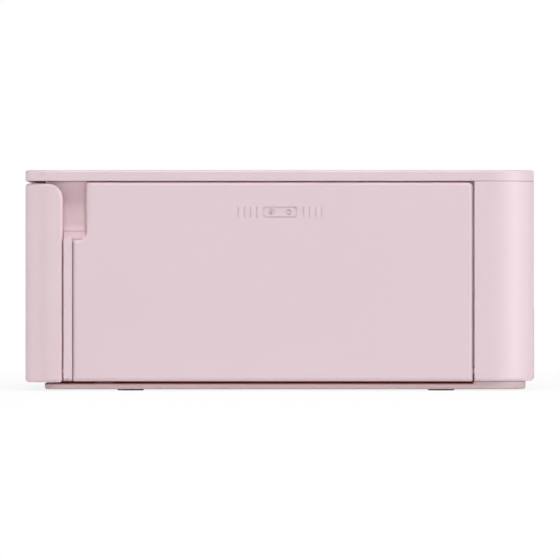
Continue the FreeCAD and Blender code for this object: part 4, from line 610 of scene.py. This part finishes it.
# %% [markdown]
# ## Soft edges on the outer shells
# A moulded edge is never sharp: it has a tiny round that catches the light as a thin pale line, and
# those lines are what shows the gaps between the pieces in the picture. The shell's own mesh stays as
# it is, so a copy is joined up, its flat triangles are dissolved and a bevel goes round what is sharp.
# The sunk sign on the door keeps its crisp edges. At the two hinge ends of the door the copies of the
# door, the housing and the cover overlap a little, which the solids don't.


# %% Soft edges on the outer shells
WELD = 0.002 * MM
FLAT = math.radians(0.6)
SHARP = math.radians(38)
SMOOTH = math.radians(32)
SKIN_ROUND = 0.16 * MM
SHELL_ROUND = 0.1 * MM
BASE_ROUND = 0.12 * MM
DOOR_SIGN = ((90.4 * MM, -13.5 * MM, 44.6 * MM), (91.6 * MM, 13.5 * MM, 48.6 * MM))


def inside(box, point):
    return box is not None and all(low < at < high for low, at, high in zip(box[0], point, box[1]))


def alone(piece):
    bpy.ops.object.select_all(action="DESELECT")
    piece.select_set(True)
    bpy.context.view_layer.objects.active = piece


def softened(node, body, round_wide, kept=None):
    """Puts a copy of a CAD shell, with a small round on its sharp edges, in the shell's place."""
    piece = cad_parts[node].copy()
    piece.data = piece.data.copy()
    piece.name = node + "_moulded"
    piece.parent = None
    bpy.context.scene.collection.objects.link(piece)
    alone(piece)
    bpy.ops.object.mode_set(mode="EDIT")
    bpy.ops.mesh.select_all(action="SELECT")
    bpy.ops.mesh.remove_doubles(threshold=WELD)
    bpy.ops.mesh.dissolve_limited(angle_limit=FLAT)
    bpy.ops.mesh.select_all(action="DESELECT")
    bpy.ops.mesh.edges_select_sharp(sharpness=SHARP)
    bpy.ops.object.mode_set(mode="OBJECT")
    mesh = piece.data
    weights = mesh.attributes.new("bevel_weight_edge", "FLOAT", "EDGE")
    for edge in mesh.edges:
        middle = (mesh.vertices[edge.vertices[0]].co + mesh.vertices[edge.vertices[1]].co) / 2
        weights.data[edge.index].value = float(edge.select and not inside(kept, middle))
    bevel = piece.modifiers.new("round", "BEVEL")
    bevel.width = round_wide
    bevel.segments = 2
    bevel.limit_method = "WEIGHT"
    bevel.use_clamp_overlap = False
    bpy.ops.object.modifier_apply(modifier="round")
    bpy.ops.object.shade_smooth_by_angle(angle=SMOOTH)
    piece.modifiers.new("flats", "WEIGHTED_NORMAL").keep_sharp = True
    bpy.ops.object.modifier_apply(modifier="flats")
    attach(piece, body)
    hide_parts(node)
    print(piece.name, "has", len(piece.data.polygons), "faces")


softened("ink_door", "ink_door", SKIN_ROUND, DOOR_SIGN)
softened("front_cover", "front_cover", SKIN_ROUND)
softened("top_cover", "case", SHELL_ROUND)
softened("main_housing", "case", SHELL_ROUND)
softened("front_frame", "case", SHELL_ROUND)
softened("bottom_cover", "case", BASE_ROUND)

# %% [markdown]
# ## Floor and studio light
# The printer stands on a pale floor that runs into white, with only a soft shadow under it. Large soft
# lamps stand on the camera's side, above, and to the front and the rear, so that the flat side is lit
# evenly and the rounded corners each take a soft bright band. The lamps in front and on the left don't
# show in glossy surfaces, which keeps the dark window from turning white.


# %% Floor and studio light
WHITE = (1, 1, 1, 1)
FLOOR_WIDE = 12
FLOOR_DROP = 0.02 * MM
WHITE_STARTS = 120
WHITE_FULL = 600
WHITE_LEAST = 0.86
SKY_STRENGTH = 0.05
LAMP_AIM = Vector((0, 0, 30 * MM))


def pale_floor():
    """A dull floor to the light, which the camera sees as almost white and as white far away."""
    finish = Finish("pale_floor", (244, 244, 244), 0.9)
    tree = finish.tree
    white = finish.node("ShaderNodeEmission", {}, WHITE, 1.0)
    path = finish.node("ShaderNodeLightPath", {}, out="Is Camera Ray")
    glossy = Value(finish, path.socket.node.outputs["Is Glossy Ray"])
    clear = Value(finish, path.socket.node.outputs["Is Transmission Ray"])
    across, along, _ = finish.axes()
    near = (across * across + along * along).root()
    white_share = finish.node("ShaderNodeMapRange", {}, near, WHITE_STARTS, WHITE_FULL, WHITE_LEAST, 1.0)
    share = path.most(glossy).most(clear) * white_share
    both = finish.node("ShaderNodeMixShader", {}, share, Value(finish, finish.shader.outputs[0]), white)
    tree.links.new(both.socket, tree.nodes["Material Output"].inputs[0])
    return finish


bpy.ops.object.select_all(action="DESELECT")
bpy.ops.mesh.primitive_plane_add(size=FLOOR_WIDE, location=(0, 0, -FLOOR_DROP))
floor = bpy.context.object
floor.name = "floor"
floor.data.materials.append(pale_floor().material)
floor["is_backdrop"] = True

world = bpy.data.worlds.new("studio")
bpy.context.scene.world = world
world.use_nodes = True
sky_nodes = world.node_tree.nodes
sky_links = world.node_tree.links
sky = sky_nodes["Background"]
sky.inputs["Color"].default_value = WHITE
sky.inputs["Strength"].default_value = SKY_STRENGTH
sky_seen = sky_nodes.new("ShaderNodeBackground")
sky_seen.inputs["Color"].default_value = WHITE
sky_path = sky_nodes.new("ShaderNodeLightPath")
sky_mix = sky_nodes.new("ShaderNodeMixShader")
sky_links.new(sky_path.outputs["Is Camera Ray"], sky_mix.inputs[0])
sky_links.new(sky.outputs[0], sky_mix.inputs[1])
sky_links.new(sky_seen.outputs[0], sky_mix.inputs[2])
sky_links.new(sky_mix.outputs[0], sky_nodes["World Output"].inputs[0])


def soft_lamp(name, place, wide, high, watts, mirrored=True):
    data = bpy.data.lights.new(name, "AREA")
    data.shape = "RECTANGLE"
    data.size = wide
    data.size_y = high
    data.energy = watts
    lamp = bpy.data.objects.new(name, data)
    lamp.location = place
    lamp.visible_glossy = mirrored
    lamp.rotation_euler = (LAMP_AIM - Vector(place)).to_track_quat("-Z", "Y").to_euler()
    bpy.context.scene.collection.objects.link(lamp)
    print(name, watts, "W at", place)


soft_lamp("key_lamp", (0.9, 0.0, 1.15), 0.4, 0.4, 5.5)
soft_lamp("fill_lamp", (1.6, 0.05, 0.2), 0.3, 0.3, 2.5)
soft_lamp("top_lamp", (0.3, 0.0, 1.2), 0.9, 0.9, 7.0)
soft_lamp("rear_lamp", (0.38, 1.2, 0.3), 0.35, 0.8, 9.8)
soft_lamp("front_lamp", (0.35, -1.2, 0.35), 0.4, 0.9, 6.8, mirrored=False)
soft_lamp("left_lamp", (-1.3, 0.2, 0.7), 1.2, 0.8, 7.0, mirrored=False)

# %% [markdown]
# ## Sizes and the end
# The dressed printer must fill the same box as the solids, so both boxes are written side by side.

# %% Sizes and the end
seen_low, seen_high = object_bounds()
seen_size = [round((high - low) / MM, 1) for low, high in zip(seen_low, seen_high)]
print("the dressed printer fills", seen_size, "mm")
